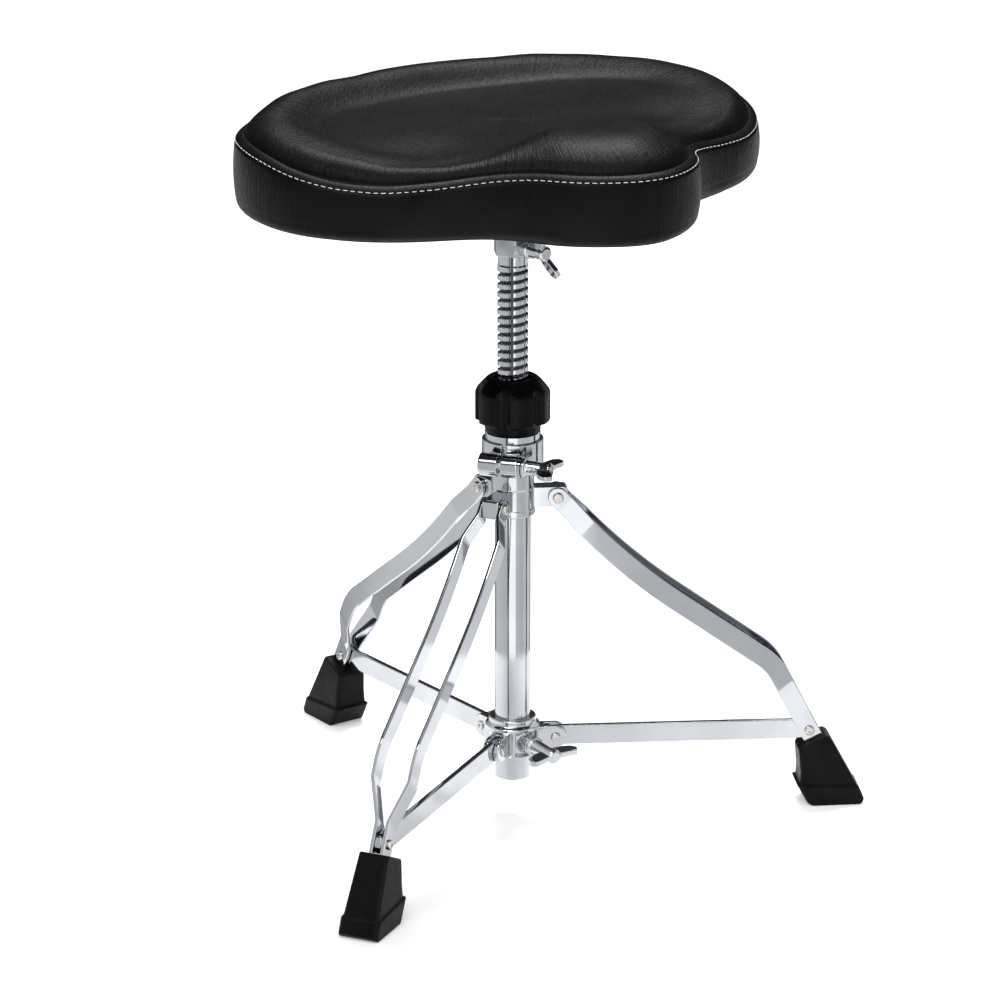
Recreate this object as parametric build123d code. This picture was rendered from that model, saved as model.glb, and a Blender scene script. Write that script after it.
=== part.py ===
from build123d import *
import math
import os

os.makedirs("parts", exist_ok=True)

# The origin is the floor point under the column, +Z is up and the seat's horn points to -Y.
# One leg points to +Y and the others to either side of the horn. Millimetres and degrees.

# Clearances
RUN_GAP = 0.08          # radial gap of a shaft in its hole
SIDE_GAP = 0.3          # gap between faces that slide past each other

# Column
PIPE_RADIUS = 15.0
PIPE_WALL = 1.6
PIPE_BOTTOM = 33.0
PIPE_TOP = 321.5
SOCKET_RADIUS = 23.0
SOCKET_WALL = 2.0
SOCKET_BOTTOM = 303.5
SOCKET_TOP = 337.0
SLIT_AZIMUTH = -129.0
SLIT_WIDTH = 5.0
SLIT_TOP = 335.5

# Height screw
THREAD_RADIUS = 12.7
THREAD_ROOT = 10.9
THREAD_PITCH = 25.4 / 3.5
THREAD_CREST = 3.4
THREAD_BOTTOM = 252.0
THREAD_TOP = 478.0
ROD_RADIUS = 12.05
ROD_BOTTOM = 195.0
ROD_TOP = 521.0
KEYWAY_WIDTH = 2.2
KEYWAY_FLOOR = 9.6

# Height nut
NUT_RADIUS = 31.0
NUT_BOTTOM = 337.4
NUT_HEIGHT = 46.0
NUT_SKIRT = 24.0
NUT_LOBES = 6
NUT_LOBE_AZIMUTH = -111.0
FLUTE_RADIUS = 7.0
FLUTE_CENTRE = 34.3
INSERT_RADIUS = 16.5

# Height clamp: the bolt axis is horizontal and tangent to the ring
CLAMP_AZIMUTH = -143.0
CLAMP_RADIUS = 25.5
CLAMP_BOTTOM = 305.0
CLAMP_TOP = 331.0
CLAMP_AXIS_Z = 316.0
CLAMP_AXIS_R = 32.5
CLAMP_GAP = 3.2
BARREL_RADIUS = 9.5
BARREL_LEFT = 17.8
BARREL_RIGHT = 16.0
BOLT_RADIUS = 4.0

# Leg linkage, as radius from the column axis and height
LEG_AZIMUTHS = (90.0, -30.0, -150.0)
HUB_PIVOT = (36.8, 280.2)
FOOT_PIVOT = (252.2, 65.0)
COLLAR_PIVOT = (35.8, 67.3)
RIVET_RADIUS = 3.5
RIVET_HEAD = 4.6
RIVET_DIMPLE = 1.5

# Hub
HUB_RADIUS = 17.8
HUB_BOTTOM = 265.6
HUB_TOP = 302.0
LUG_HALF = 7.0
LUG_HEIGHT = 17.0
BUSHING_RADIUS = 5.0

# Leg bars
BAR_WIDTH = 16.5
BAR_THICKNESS = 3.0
BAR_HUB_INNER = 7.3     # inner face beside the hub lug
BAR_WIDE_INNER = 14.5   # inner face along the leg
BAR_FOOT_INNER = 3.4    # inner face beside the stay
UPPER_SLOPE = 47.0
MIDDLE_SLOPE = 35.5
LOWER_SLOPE = 62.5
UPPER_ARC = 520.0
KNEE_ARC = 48.0
BAR_PAST_PIVOT = 30.0

# Stays
STAY_HEIGHT = 17.0
STAY_THICKNESS = 5.0
WASHER_THICKNESS = 0.6

# Collar
COLLAR_BOTTOM = 54.0
COLLAR_SHOULDER = 80.0
COLLAR_TOP = 87.0
COLLAR_RADIUS = 19.5
RIB_DEPTH = 4.4
RIB_TURN = 33.0
EAR_THICKNESS = 4.4
EAR_RADIUS = 9.8
COLLAR_BOLT_AZIMUTH = -90.0
BOSS_END = 30.0

# Seat
SEAT_BOTTOM = 534.0
SEAT_DOME_TOP = 628.0
SEAT_DOME_RADIUS = 600.0
SEAT_DISH_BOTTOM = 602.0
SEAT_DISH_RADIUS = 500.0
COVER_THICKNESS = 1.2
COVER_CORNER = 12.0     # rounded lower edge of the cushion
SEAT_TURN = -2.5        # the cushion stands slightly turned and set over on its rod
SEAT_SHIFT = 6.0
HEM_WIDTH = 32.0
BOARD_INSET = 21.0      # the foam wraps round the board's edge
BOARD_THICKNESS = 12.0
FLANGE_SIZE = 96.0
FLANGE_THICKNESS = 4.0
SCREW_SPACING = 72.0
SOCKET_LOWER_END = 487.0
SEAT_BOLT_AZIMUTH = -90.0
SEAT_BOLT_Z = 496.0


def radial(angle, r, z=0.0, side=0.0):
    """Point at radius r in the direction angle, moved sideways to its left."""
    c = math.cos(math.radians(angle))
    s = math.sin(math.radians(angle))
    return Vector(r * c - side * s, r * s + side * c, z)


def outward_plane(angle, r, z):
    """Plane whose normal points outward along the direction angle."""
    c = math.cos(math.radians(angle))
    s = math.sin(math.radians(angle))
    return Plane(origin=(r * c, r * s, z), x_dir=(-s, c, 0), z_dir=(c, s, 0))


def leg_plane(angle):
    """Plane of one leg: x is the radius, y is the height, its normal points to the right side."""
    c = math.cos(math.radians(angle))
    s = math.sin(math.radians(angle))
    return Plane(origin=(0, 0, 0), x_dir=(c, s, 0), z_dir=(s, -c, 0))


def ring(inner, outer, bottom, top):
    tube = Cylinder(outer, top - bottom, align=(Align.CENTER, Align.CENTER, Align.MIN))
    bore = Cylinder(inner, top - bottom, align=(Align.CENTER, Align.CENTER, Align.MIN))
    return Pos(0, 0, bottom) * (tube - bore)


def turned(points):
    """Solid of revolution about Z from (radius, height) corners."""
    outline = Plane.XZ * make_face(Polyline(*points, close=True).edges())
    return revolve(outline, Axis.Z, 360)


def pin(plane, radius, start, end):
    """Round bar along a plane's normal, from start to end."""
    return extrude(plane.offset(start) * Circle(radius), end - start)


def save(solid, name):
    export_step(solid, "parts/" + name + ".step")


# Column

def base_tube():
    tube = ring(PIPE_RADIUS - PIPE_WALL, PIPE_RADIUS, PIPE_BOTTOM, PIPE_TOP)
    hole = pin(hub_pin_plane(), 2.0, -PIPE_RADIUS - 1, PIPE_RADIUS + 1)
    return tube - hole


def hub_pin_plane():
    return outward_plane(LEG_AZIMUTHS[0] - 60.0, 0, HUB_BOTTOM + 4.5)


def slit(inner, bottom):
    height = SLIT_TOP - bottom
    middle = (inner + SOCKET_RADIUS + 1) / 2
    length = SOCKET_RADIUS + 1 - inner
    bar = Box(length, SLIT_WIDTH, height)
    return Rot(0, 0, SLIT_AZIMUTH) * Pos(middle, 0, bottom + height / 2) * bar


def upper_socket():
    inner = SOCKET_RADIUS - SOCKET_WALL
    tube = ring(inner, SOCKET_RADIUS, SOCKET_BOTTOM, SOCKET_TOP)
    edge = tube.edges().group_by(Axis.Z)[-1]
    tube = chamfer(edge, 0.5)
    return tube - slit(inner - 2, SOCKET_BOTTOM - 1)


def guide_bush():
    outer = SOCKET_RADIUS - SOCKET_WALL
    bore = THREAD_RADIUS + RUN_GAP
    corners = [(PIPE_RADIUS, SOCKET_BOTTOM), (outer, SOCKET_BOTTOM), (outer, SOCKET_TOP),
               (bore, SOCKET_TOP), (bore, PIPE_TOP), (PIPE_RADIUS, PIPE_TOP)]
    return turned(corners) - slit(PIPE_RADIUS + 1.0, SOCKET_BOTTOM - 1) - slit(bore - 1, PIPE_TOP + 1)


def anti_turn_key():
    """Key in the slit whose tongue runs in the rod's keyway."""
    bottom = PIPE_TOP + 2.0
    height = SLIT_TOP - bottom - 0.2
    tip = KEYWAY_FLOOR + 0.7
    step = THREAD_RADIUS + 1.0
    end = SOCKET_RADIUS - SOCKET_WALL - 0.2
    tongue = Pos((tip + step) / 2, 0, 0) * Box(step - tip, KEYWAY_WIDTH - 0.4, height)
    body = Pos((step + end) / 2, 0, 0) * Box(end - step, SLIT_WIDTH - 0.1, height)
    key = tongue + body
    return Rot(0, 0, SLIT_AZIMUTH) * Pos(0, 0, bottom + height / 2) * key


# Height screw

def height_rod():
    """Plain top, threaded body drawn as grooves one pitch apart, and a keyway down its length."""
    groove = THREAD_PITCH - THREAD_CREST
    corners = [(0, ROD_BOTTOM), (THREAD_RADIUS - 1, ROD_BOTTOM), (THREAD_RADIUS, ROD_BOTTOM + 1)]
    count = int((THREAD_TOP - THREAD_BOTTOM) / THREAD_PITCH)
    for i in range(count):
        low = THREAD_BOTTOM + i * THREAD_PITCH
        corners.append((THREAD_RADIUS, low))
        corners.append((THREAD_ROOT, low + groove * 0.3))
        corners.append((THREAD_ROOT, low + groove * 0.7))
        corners.append((THREAD_RADIUS, low + groove))
    corners.append((THREAD_RADIUS, THREAD_TOP))
    corners.append((ROD_RADIUS, THREAD_TOP + 1))
    corners.append((ROD_RADIUS, ROD_TOP - 1))
    corners.append((ROD_RADIUS - 1, ROD_TOP))
    corners.append((0, ROD_TOP))
    rod = turned(corners)
    depth = THREAD_RADIUS + 1 - KEYWAY_FLOOR
    height = ROD_TOP - ROD_BOTTOM + 10
    keyway = Pos(KEYWAY_FLOOR + depth / 2, 0, ROD_BOTTOM - 5 + height / 2)
    return rod - Rot(0, 0, SLIT_AZIMUTH) * keyway * Box(depth, KEYWAY_WIDTH, height)


def height_nut():
    top = NUT_BOTTOM + NUT_HEIGHT
    hole = INSERT_RADIUS
    rim = hole + 2.5
    corners = [(THREAD_RADIUS + 1.5, NUT_BOTTOM), (NUT_SKIRT, NUT_BOTTOM),
               (NUT_SKIRT, NUT_BOTTOM + 7), (NUT_RADIUS, NUT_BOTTOM + 8.5), (NUT_RADIUS, top - 12),
               (28, top - 7), (rim + 2.5, top - 0.8), (rim, top), (hole, top - 3),
               (hole, NUT_BOTTOM + 3), (THREAD_RADIUS + 1.5, NUT_BOTTOM + 3)]
    nut = turned(corners)
    for i in range(NUT_LOBES):
        angle = NUT_LOBE_AZIMUTH + (i + 0.5) * 360 / NUT_LOBES
        flute = Pos(radial(angle, FLUTE_CENTRE, NUT_BOTTOM - 1)) * Cylinder(
            FLUTE_RADIUS, NUT_HEIGHT + 2, align=(Align.CENTER, Align.CENTER, Align.MIN))
        nut -= flute
    return nut


def nut_insert():
    """Metal thread carrier, bored to clear the thread's crest."""
    bottom = NUT_BOTTOM + 3
    top = NUT_BOTTOM + NUT_HEIGHT - 5
    return ring(THREAD_RADIUS + RUN_GAP, INSERT_RADIUS, bottom, top)


# Height clamp

def clamp_plane():
    """Plane at the clamp's split whose normal runs along the bolt, to the right."""
    plane = outward_plane(CLAMP_AZIMUTH, 0, 0)
    origin = radial(CLAMP_AZIMUTH, CLAMP_AXIS_R, CLAMP_AXIS_Z)
    return Plane(origin=origin, x_dir=plane.z_dir, z_dir=plane.x_dir)


def height_clamp():
    band = ring(SOCKET_RADIUS, CLAMP_RADIUS, CLAMP_BOTTOM, CLAMP_TOP)
    plane = clamp_plane()
    barrel = pin(plane, BARREL_RADIUS, -BARREL_LEFT, BARREL_RIGHT)
    barrel = chamfer(barrel.edges().filter_by(GeomType.CIRCLE), 0.7)
    web_size = CLAMP_AXIS_R - SOCKET_RADIUS
    web = Box(web_size, BARREL_LEFT + BARREL_RIGHT - 6, 2 * BARREL_RADIUS - 5)
    web_place = Rot(0, 0, CLAMP_AZIMUTH) * Pos(SOCKET_RADIUS + web_size / 2, -1, CLAMP_AXIS_Z)
    body = band + web_place * web + barrel
    body -= ring(0.5, SOCKET_RADIUS, CLAMP_BOTTOM - 9, CLAMP_TOP + 9)
    gap = Rot(0, 0, CLAMP_AZIMUTH) * Pos(35, 0, CLAMP_AXIS_Z) * Box(34, CLAMP_GAP, 60)
    body -= gap
    body -= pin(plane, BOLT_RADIUS + 0.2, -BARREL_LEFT - 1, BARREL_RIGHT + 1)
    head = plane.offset(-BARREL_LEFT - 1) * RegularPolygon(7.2, 6)
    return body - extrude(head, 7)


def clamp_bolt():
    plane = clamp_plane()
    head = extrude(plane.offset(-BARREL_LEFT + 1) * RegularPolygon(7.0, 6), 4.8)
    return head + pin(plane, BOLT_RADIUS, -BARREL_LEFT + 5, 42)


def clamp_washer():
    plane = clamp_plane()
    disc = pin(plane, 9.0, BARREL_RIGHT, BARREL_RIGHT + 2.4)
    return disc - pin(plane, BOLT_RADIUS, BARREL_RIGHT - 1, BARREL_RIGHT + 4)


def wing(plane, start, end, reach, roll, thickness):
    """Two swept wings on a tapered neck, along a plane's normal from start to end."""
    length = end - start
    neck_outline = [(0, 0), (8.4, 0), (8.4, 2.6), (6.6, 3.2), (5.6, length * 0.6),
                    (6.4, length - 2), (4.5, length), (0, length)]
    neck = turned(neck_outline)
    low = length * 0.52
    half = [(0, low), (5, low), (reach * 0.62, low + 2.5), (reach - 2, low + 6.5),
            (reach, low + 12), (reach - 3, low + 17), (reach * 0.62, low + 16),
            (5, length - 1), (0, length - 1)]
    right = make_face(Polyline(*half, close=True).edges())
    right = fillet(right.vertices().group_by(Axis.X)[-1], 1.5)
    blade = extrude(Plane.XZ * right, thickness / 2, both=True)
    blades = blade + mirror(blade, Plane.YZ)
    piece = Rot(0, 0, roll) * (neck + blades)
    return plane.offset(start).location * piece


def clamp_wing_nut():
    plane = clamp_plane()
    start = BARREL_RIGHT + 2.4 + SIDE_GAP
    body = wing(plane, start, 44.0, 21.0, 5.0, 4.4)
    return body - pin(plane, BOLT_RADIUS + RUN_GAP, start - 1, 60)


# Hub

def leg_hub():
    lip = HUB_RADIUS + 0.8
    groove = HUB_TOP - 14
    corners = [(PIPE_RADIUS, HUB_BOTTOM), (lip, HUB_BOTTOM), (lip, HUB_BOTTOM + 5),
               (HUB_RADIUS, HUB_BOTTOM + 6), (HUB_RADIUS, groove - 1), (HUB_RADIUS - 0.7, groove),
               (HUB_RADIUS, groove + 1), (HUB_RADIUS, HUB_TOP), (PIPE_RADIUS, HUB_TOP)]
    hub = turned(corners)
    reach = HUB_PIVOT[0] + LUG_HEIGHT / 2
    for angle in LEG_AZIMUTHS:
        length = reach - PIPE_RADIUS - 0.8
        lug = Box(length, 2 * LUG_HALF, LUG_HEIGHT)
        lug = fillet(lug.edges().filter_by(Axis.Y).group_by(Axis.X)[-1], 3.0)
        place = Rot(0, 0, angle) * Pos(reach - length / 2, 0, HUB_PIVOT[1])
        hub += place * lug
    for angle in LEG_AZIMUTHS:
        hub -= pin(pivot_plane(angle, HUB_PIVOT), BUSHING_RADIUS, -LUG_HALF - 1, LUG_HALF + 1)
    return hub - pin(hub_pin_plane(), 2.0, -30, 30)


def pivot_plane(angle, pivot):
    """Plane in a leg's middle, with its normal along the pivot."""
    plane = leg_plane(angle)
    return Plane(origin=radial(angle, pivot[0], pivot[1]), x_dir=plane.x_dir, z_dir=plane.z_dir)


def hub_pins():
    """Two short pins through the sleeve and the pipe's wall, clear of the rod."""
    inner = PIPE_RADIUS - PIPE_WALL + 0.2
    outer = HUB_RADIUS + 1.4
    pieces = [pin(hub_pin_plane(), 2.0, inner, outer), pin(hub_pin_plane(), 2.0, -outer, -inner)]
    return Compound(children=pieces)


def pivot_bushings():
    pieces = []
    for angle in LEG_AZIMUTHS:
        plane = pivot_plane(angle, HUB_PIVOT)
        outer = pin(plane, BUSHING_RADIUS, -LUG_HALF, LUG_HALF)
        pieces.append(outer - pin(plane, RIVET_RADIUS, -LUG_HALF - 1, LUG_HALF + 1))
    return Compound(children=pieces)


# Legs, drawn in a leg's own plane: x is the radius and y is the height

def along(start, slope, length):
    """Point at a distance down a slope from the horizontal."""
    a = math.radians(slope)
    return (start[0] + length * math.cos(a), start[1] - length * math.sin(a))


def leg_path():
    """Centre line of a bar in the leg's plane: straight, slow arc, straight, knee, straight."""
    lower_end = along(FOOT_PIVOT, LOWER_SLOPE, BAR_PAST_PIVOT)
    first = along(HUB_PIVOT, UPPER_SLOPE, 34.0)
    arc_chord_slope = (UPPER_SLOPE + MIDDLE_SLOPE) / 2
    arc_turn = math.radians(UPPER_SLOPE - MIDDLE_SLOPE)
    second = along(first, arc_chord_slope, 2 * UPPER_ARC * math.sin(arc_turn / 2))
    knee_turn = math.radians(LOWER_SLOPE - MIDDLE_SLOPE)
    m = math.radians(MIDDLE_SLOPE)
    n = math.radians(LOWER_SLOPE)
    gap_x = FOOT_PIVOT[0] - second[0]
    gap_y = second[1] - FOOT_PIVOT[1]
    cross = math.sin(n - m)
    to_corner = (gap_x * math.sin(n) - gap_y * math.cos(n)) / cross
    trim = KNEE_ARC * math.tan(knee_turn / 2)
    third = along(second, MIDDLE_SLOPE, to_corner - trim)
    corner = along(second, MIDDLE_SLOPE, to_corner)
    fourth = along(corner, LOWER_SLOPE, trim)
    upper_arc = along(first, (UPPER_SLOPE + arc_chord_slope) / 2, UPPER_ARC * arc_turn / 2)
    knee_half = along(third, (MIDDLE_SLOPE * 3 + LOWER_SLOPE) / 4, 2 * KNEE_ARC * math.sin(knee_turn / 4))
    return Wire([Line(HUB_PIVOT, first), ThreePointArc(first, upper_arc, second), Line(second, third),
                 ThreePointArc(third, knee_half, fourth), Line(fourth, lower_end)])


def bar_side_profile():
    """Corners of one bar seen along its width: distance down the chord, and sideways."""
    span = math.dist(HUB_PIVOT, FOOT_PIVOT)
    t = BAR_THICKNESS
    narrow = BAR_FOOT_INNER
    wide = BAR_WIDE_INNER
    top = BAR_HUB_INNER
    inner = [(-12, top), (11, top), (33, wide), (span - 46, wide), (span - 14, narrow),
             (span + 60, narrow)]
    outer = [(x, y + t) for x, y in inner]
    outer[1] = (inner[1][0] - 0.6, outer[1][1])
    outer[2] = (inner[2][0] - 0.6, outer[2][1])
    outer[3] = (inner[3][0] + 0.6, outer[3][1])
    outer[4] = (inner[4][0] + 0.6, outer[4][1])
    return inner + outer[::-1]


def leg_bar(angle, side):
    plane = leg_plane(angle)
    strip = make_face(offset(leg_path(), BAR_WIDTH / 2).edges())
    strip = extrude(plane * strip, 30, both=True)
    dx = FOOT_PIVOT[0] - HUB_PIVOT[0]
    dz = FOOT_PIVOT[1] - HUB_PIVOT[1]
    chord = plane.x_dir * dx + Vector(0, 0, 1) * dz
    chord = chord.normalized()
    across = chord.cross(plane.z_dir)
    origin = radial(angle, HUB_PIVOT[0], HUB_PIVOT[1])
    bend_plane = Plane(origin=origin, x_dir=chord, z_dir=across)
    facing = 1 if bend_plane.y_dir.dot(plane.z_dir) > 0 else -1
    corners = [(x, y * side * facing) for x, y in bar_side_profile()]
    bends = extrude(bend_plane * make_face(Polyline(*corners, close=True).edges()), 80, both=True)
    bar = strip & bends
    bar -= pin(pivot_plane(angle, HUB_PIVOT), RIVET_RADIUS, -20, 20)
    return bar - pin(pivot_plane(angle, FOOT_PIVOT), RIVET_RADIUS + RUN_GAP, -20, 20)


def rivet_head(plane, start, direction, radius, thickness):
    """Low domed head on a plane's normal, from start in the given direction."""
    head = pin(plane, radius, min(start, start + direction * thickness),
               max(start, start + direction * thickness))
    edges = head.edges().filter_by(GeomType.CIRCLE)
    outer = edges.sort_by(lambda e: direction * plane.to_local_coords(e.arc_center).Z)[-1]
    head = fillet(outer, thickness * 0.75)
    top = start + direction * thickness
    floor = top - direction * 0.9
    return head - pin(plane, RIVET_DIMPLE, min(floor, top), max(floor, top))


def leg_rivet(angle):
    """A headed stub in each bar; nothing crosses between them."""
    plane = pivot_plane(angle, HUB_PIVOT)
    pieces = []
    for side in (1, -1):
        face = BAR_HUB_INNER + BAR_THICKNESS
        stub = pin(plane, RIVET_RADIUS, min(side * BAR_HUB_INNER, side * face),
                   max(side * BAR_HUB_INNER, side * face))
        pieces.append(stub + rivet_head(plane, side * face, side, RIVET_HEAD, 2.2))
    return Compound(children=pieces)


def foot_rivet(angle):
    plane = pivot_plane(angle, FOOT_PIVOT)
    face = BAR_FOOT_INNER + BAR_THICKNESS + SIDE_GAP
    rivet = pin(plane, RIVET_RADIUS, -face, face)
    for side in (1, -1):
        rivet += rivet_head(plane, side * face, side, RIVET_HEAD - 0.4, 2.0)
    return rivet


def stay_washers(angle):
    plane = pivot_plane(angle, FOOT_PIVOT)
    pieces = []
    for side in (1, -1):
        low = STAY_THICKNESS / 2
        high = low + WASHER_THICKNESS
        disc = pin(plane, 7.0, min(side * low, side * high), max(side * low, side * high))
        pieces.append(disc - pin(plane, RIVET_RADIUS, -5, 5))
    return Compound(children=pieces)


def stay(angle):
    plane = leg_plane(angle)
    strip = make_face(offset(Wire([Line(COLLAR_PIVOT, FOOT_PIVOT)]), STAY_HEIGHT / 2).edges())
    bar = extrude(plane * strip, STAY_THICKNESS / 2, both=True)
    bar -= pin(pivot_plane(angle, COLLAR_PIVOT), RIVET_RADIUS + RUN_GAP, -5, 5)
    return bar - pin(pivot_plane(angle, FOOT_PIVOT), RIVET_RADIUS, -5, 5)


def leg_foot(angle, bars):
    """Rubber foot: tapered body over a wider sole band, with pockets for the bars."""
    plane = leg_plane(angle)
    body_side = [(242.6, 49.0), (245.4, 51.6), (265.8, 61.6), (269.6, 60.0), (294.0, 15.0),
                 (244.0, 15.0), (244.4, 30.0)]
    body = extrude(plane * make_face(Polyline(*body_side, close=True).edges()), 30, both=True)
    taper = [(-12.5, 68), (12.5, 68), (15.8, 12), (-15.8, 12)]
    across = outward_plane(angle, 0, 0)
    front = make_face(Polyline(*taper, close=True).edges())
    body &= extrude(across * front, 330)
    upright = body.edges().filter_by(lambda e: abs(e.tangent_at(0.5).Z) > 0.75)
    body = fillet(upright, 3.0)
    sole_side = [(241.0, 19.0), (250.5, 2.0), (254.5, 0.0), (295.5, 0.0), (299.5, 4.0),
                 (294.6, 15.4)]
    sole = extrude(plane * make_face(Polyline(*sole_side, close=True).edges()), 17.4, both=True)
    corners = sole.edges().filter_by(lambda e: abs(e.tangent_at(0.5).Z) > 0.75)
    sole = fillet(corners, 4.0)
    foot = body + sole
    for bar in bars:
        foot -= bar
    return foot


# Collar

def stay_collar():
    wide = COLLAR_RADIUS + 3.4
    corners = [(PIPE_RADIUS + RUN_GAP, COLLAR_BOTTOM), (wide, COLLAR_BOTTOM), (wide, COLLAR_BOTTOM + 2.4),
               (COLLAR_RADIUS, COLLAR_BOTTOM + 4), (COLLAR_RADIUS, COLLAR_SHOULDER - 5),
               (wide, COLLAR_SHOULDER - 2.4), (wide, COLLAR_SHOULDER), (19.8, COLLAR_SHOULDER + 2.4),
               (19.8, COLLAR_TOP - 0.6), (19.2, COLLAR_TOP), (PIPE_RADIUS + RUN_GAP, COLLAR_TOP)]
    collar = turned(corners)
    width = STAY_THICKNESS + 2 * SIDE_GAP + 2 * EAR_THICKNESS
    for angle in LEG_AZIMUTHS:
        plane = leg_plane(angle)
        ear = make_face(offset(Wire([Line((22, COLLAR_PIVOT[1]), COLLAR_PIVOT)]), EAR_RADIUS).edges())
        collar += extrude(plane * ear, width / 2, both=True)
    rib = Box(RIB_DEPTH, 3.0, COLLAR_SHOULDER - COLLAR_BOTTOM)
    rib_place = Pos(COLLAR_RADIUS + RIB_DEPTH / 2 - 1, 0, (COLLAR_SHOULDER + COLLAR_BOTTOM) / 2)
    for angle in LEG_AZIMUTHS:
        for turn in (RIB_TURN, -RIB_TURN):
            collar += Rot(0, 0, angle + 180 + turn) * rib_place * rib
    boss_plane = outward_plane(COLLAR_BOLT_AZIMUTH, 0, COLLAR_PIVOT[1])
    collar += pin(boss_plane, 8.2, 16, BOSS_END)
    collar -= ring(0.5, PIPE_RADIUS + RUN_GAP, COLLAR_BOTTOM - 9, COLLAR_TOP + 9)
    collar -= pin(boss_plane, BOLT_RADIUS + RUN_GAP, 5, BOSS_END + 1)
    for angle in LEG_AZIMUTHS:
        reach = 24.0
        slot = Box(reach, STAY_THICKNESS + 2 * SIDE_GAP, 60)
        start = COLLAR_PIVOT[0] - STAY_HEIGHT / 2 - 0.6
        collar -= Rot(0, 0, angle) * Pos(start + reach / 2, 0, COLLAR_PIVOT[1]) * slot
        collar -= pin(pivot_plane(angle, COLLAR_PIVOT), RIVET_RADIUS, -20, 20)
    return collar


def stay_rivets():
    pieces = []
    for angle in LEG_AZIMUTHS:
        plane = pivot_plane(angle, COLLAR_PIVOT)
        face = STAY_THICKNESS / 2 + SIDE_GAP + EAR_THICKNESS
        rivet = pin(plane, RIVET_RADIUS, -face, face)
        for side in (1, -1):
            rivet += rivet_head(plane, side * face, side, RIVET_HEAD - 0.8, 1.8)
        pieces.append(rivet)
    return Compound(children=pieces)


def collar_wing_bolt():
    plane = outward_plane(COLLAR_BOLT_AZIMUTH, 0, COLLAR_PIVOT[1])
    start = BOSS_END + SIDE_GAP
    body = wing(plane, start, 62.0, 24.0, 3.0, 4.8)
    return body + pin(plane, BOLT_RADIUS, PIPE_RADIUS + 0.4, start + 1)


# Seat

def seat_outline(inset):
    """Saddle outline: horn to -Y, a thigh cut-out each side of it, and a broad rounded back.

    An inset outline is the same one drawn smaller about its middle.
    """
    half = [(0, -195), (40, -181), (68, -154), (81, -132), (104, -108), (151, -86), (193, -59),
            (221, -19), (229, 27), (220, 75), (189, 120), (143, 155), (78, 176), (0, 185)]
    half_width = half[8][0]
    middle = (half[0][1] + half[-1][1]) / 2
    half_depth = half[-1][1] - middle
    smaller_x = 1 - inset / half_width
    smaller_y = 1 - inset / half_depth
    half = [(x * smaller_x, middle + (y - middle) * smaller_y) for x, y in half]
    other = [(-x, y) for x, y in half[-2:0:-1]]
    face = make_face(Spline(*(half + other), periodic=True).edges())
    return Pos(SEAT_SHIFT, 0, 0) * Rot(0, 0, SEAT_TURN) * face


def seat_slab(inset, bottom, thickness):
    return extrude(Plane.XY.offset(bottom) * seat_outline(inset), thickness, dir=(0, 0, 1))


def seat_block(inset, bottom, top_drop):
    """Crowned block under a dome, with a dished middle and a rounded lower edge."""
    block = seat_slab(inset, bottom, SEAT_DOME_TOP - bottom)
    block = fillet(block.edges().group_by(Axis.Z)[0], COVER_CORNER - inset)
    dome_centre = SEAT_DOME_TOP - SEAT_DOME_RADIUS
    block &= Pos(0, 0, dome_centre) * Sphere(SEAT_DOME_RADIUS - top_drop)
    dish_centre = SEAT_DISH_BOTTOM + SEAT_DISH_RADIUS
    return block - Pos(0, 0, dish_centre) * Sphere(SEAT_DISH_RADIUS + top_drop)


def seat_cover():
    board_bottom = SEAT_BOTTOM + COVER_THICKNESS
    shell = seat_block(0, SEAT_BOTTOM, 0)
    shell -= seat_block(COVER_THICKNESS, board_bottom, COVER_THICKNESS)
    return shell - seat_slab(HEM_WIDTH, SEAT_BOTTOM - 1, COVER_THICKNESS + 2)


def seat_foam():
    """Foam over the board and round its edge, down to the hem."""
    bottom = SEAT_BOTTOM + COVER_THICKNESS
    top = bottom + BOARD_THICKNESS
    foam = seat_block(COVER_THICKNESS, bottom, COVER_THICKNESS)
    foam -= seat_slab(BOARD_INSET, bottom - 1, BOARD_THICKNESS + 1)
    for x, y in screw_places():
        foam -= Pos(x, y, top) * Cylinder(9.0, 3.0)
    return foam


def seat_board():
    bottom = SEAT_BOTTOM + COVER_THICKNESS
    board = seat_slab(BOARD_INSET, bottom, BOARD_THICKNESS)
    for x, y in screw_places():
        board -= Pos(x, y, bottom + BOARD_THICKNESS / 2) * Cylinder(5.0, BOARD_THICKNESS + 2)
    return board


def dust_cover():
    top = SEAT_BOTTOM - 0.05
    sheet = seat_slab(HEM_WIDTH * 0.5, top - 0.9, 0.9)
    window = Pos(0, 0, top) * Box(FLANGE_SIZE + 4, FLANGE_SIZE + 4, 4)
    return sheet - window


def screw_places():
    half = SCREW_SPACING / 2
    return [(half, half), (-half, half), (-half, -half), (half, -half)]


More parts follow.
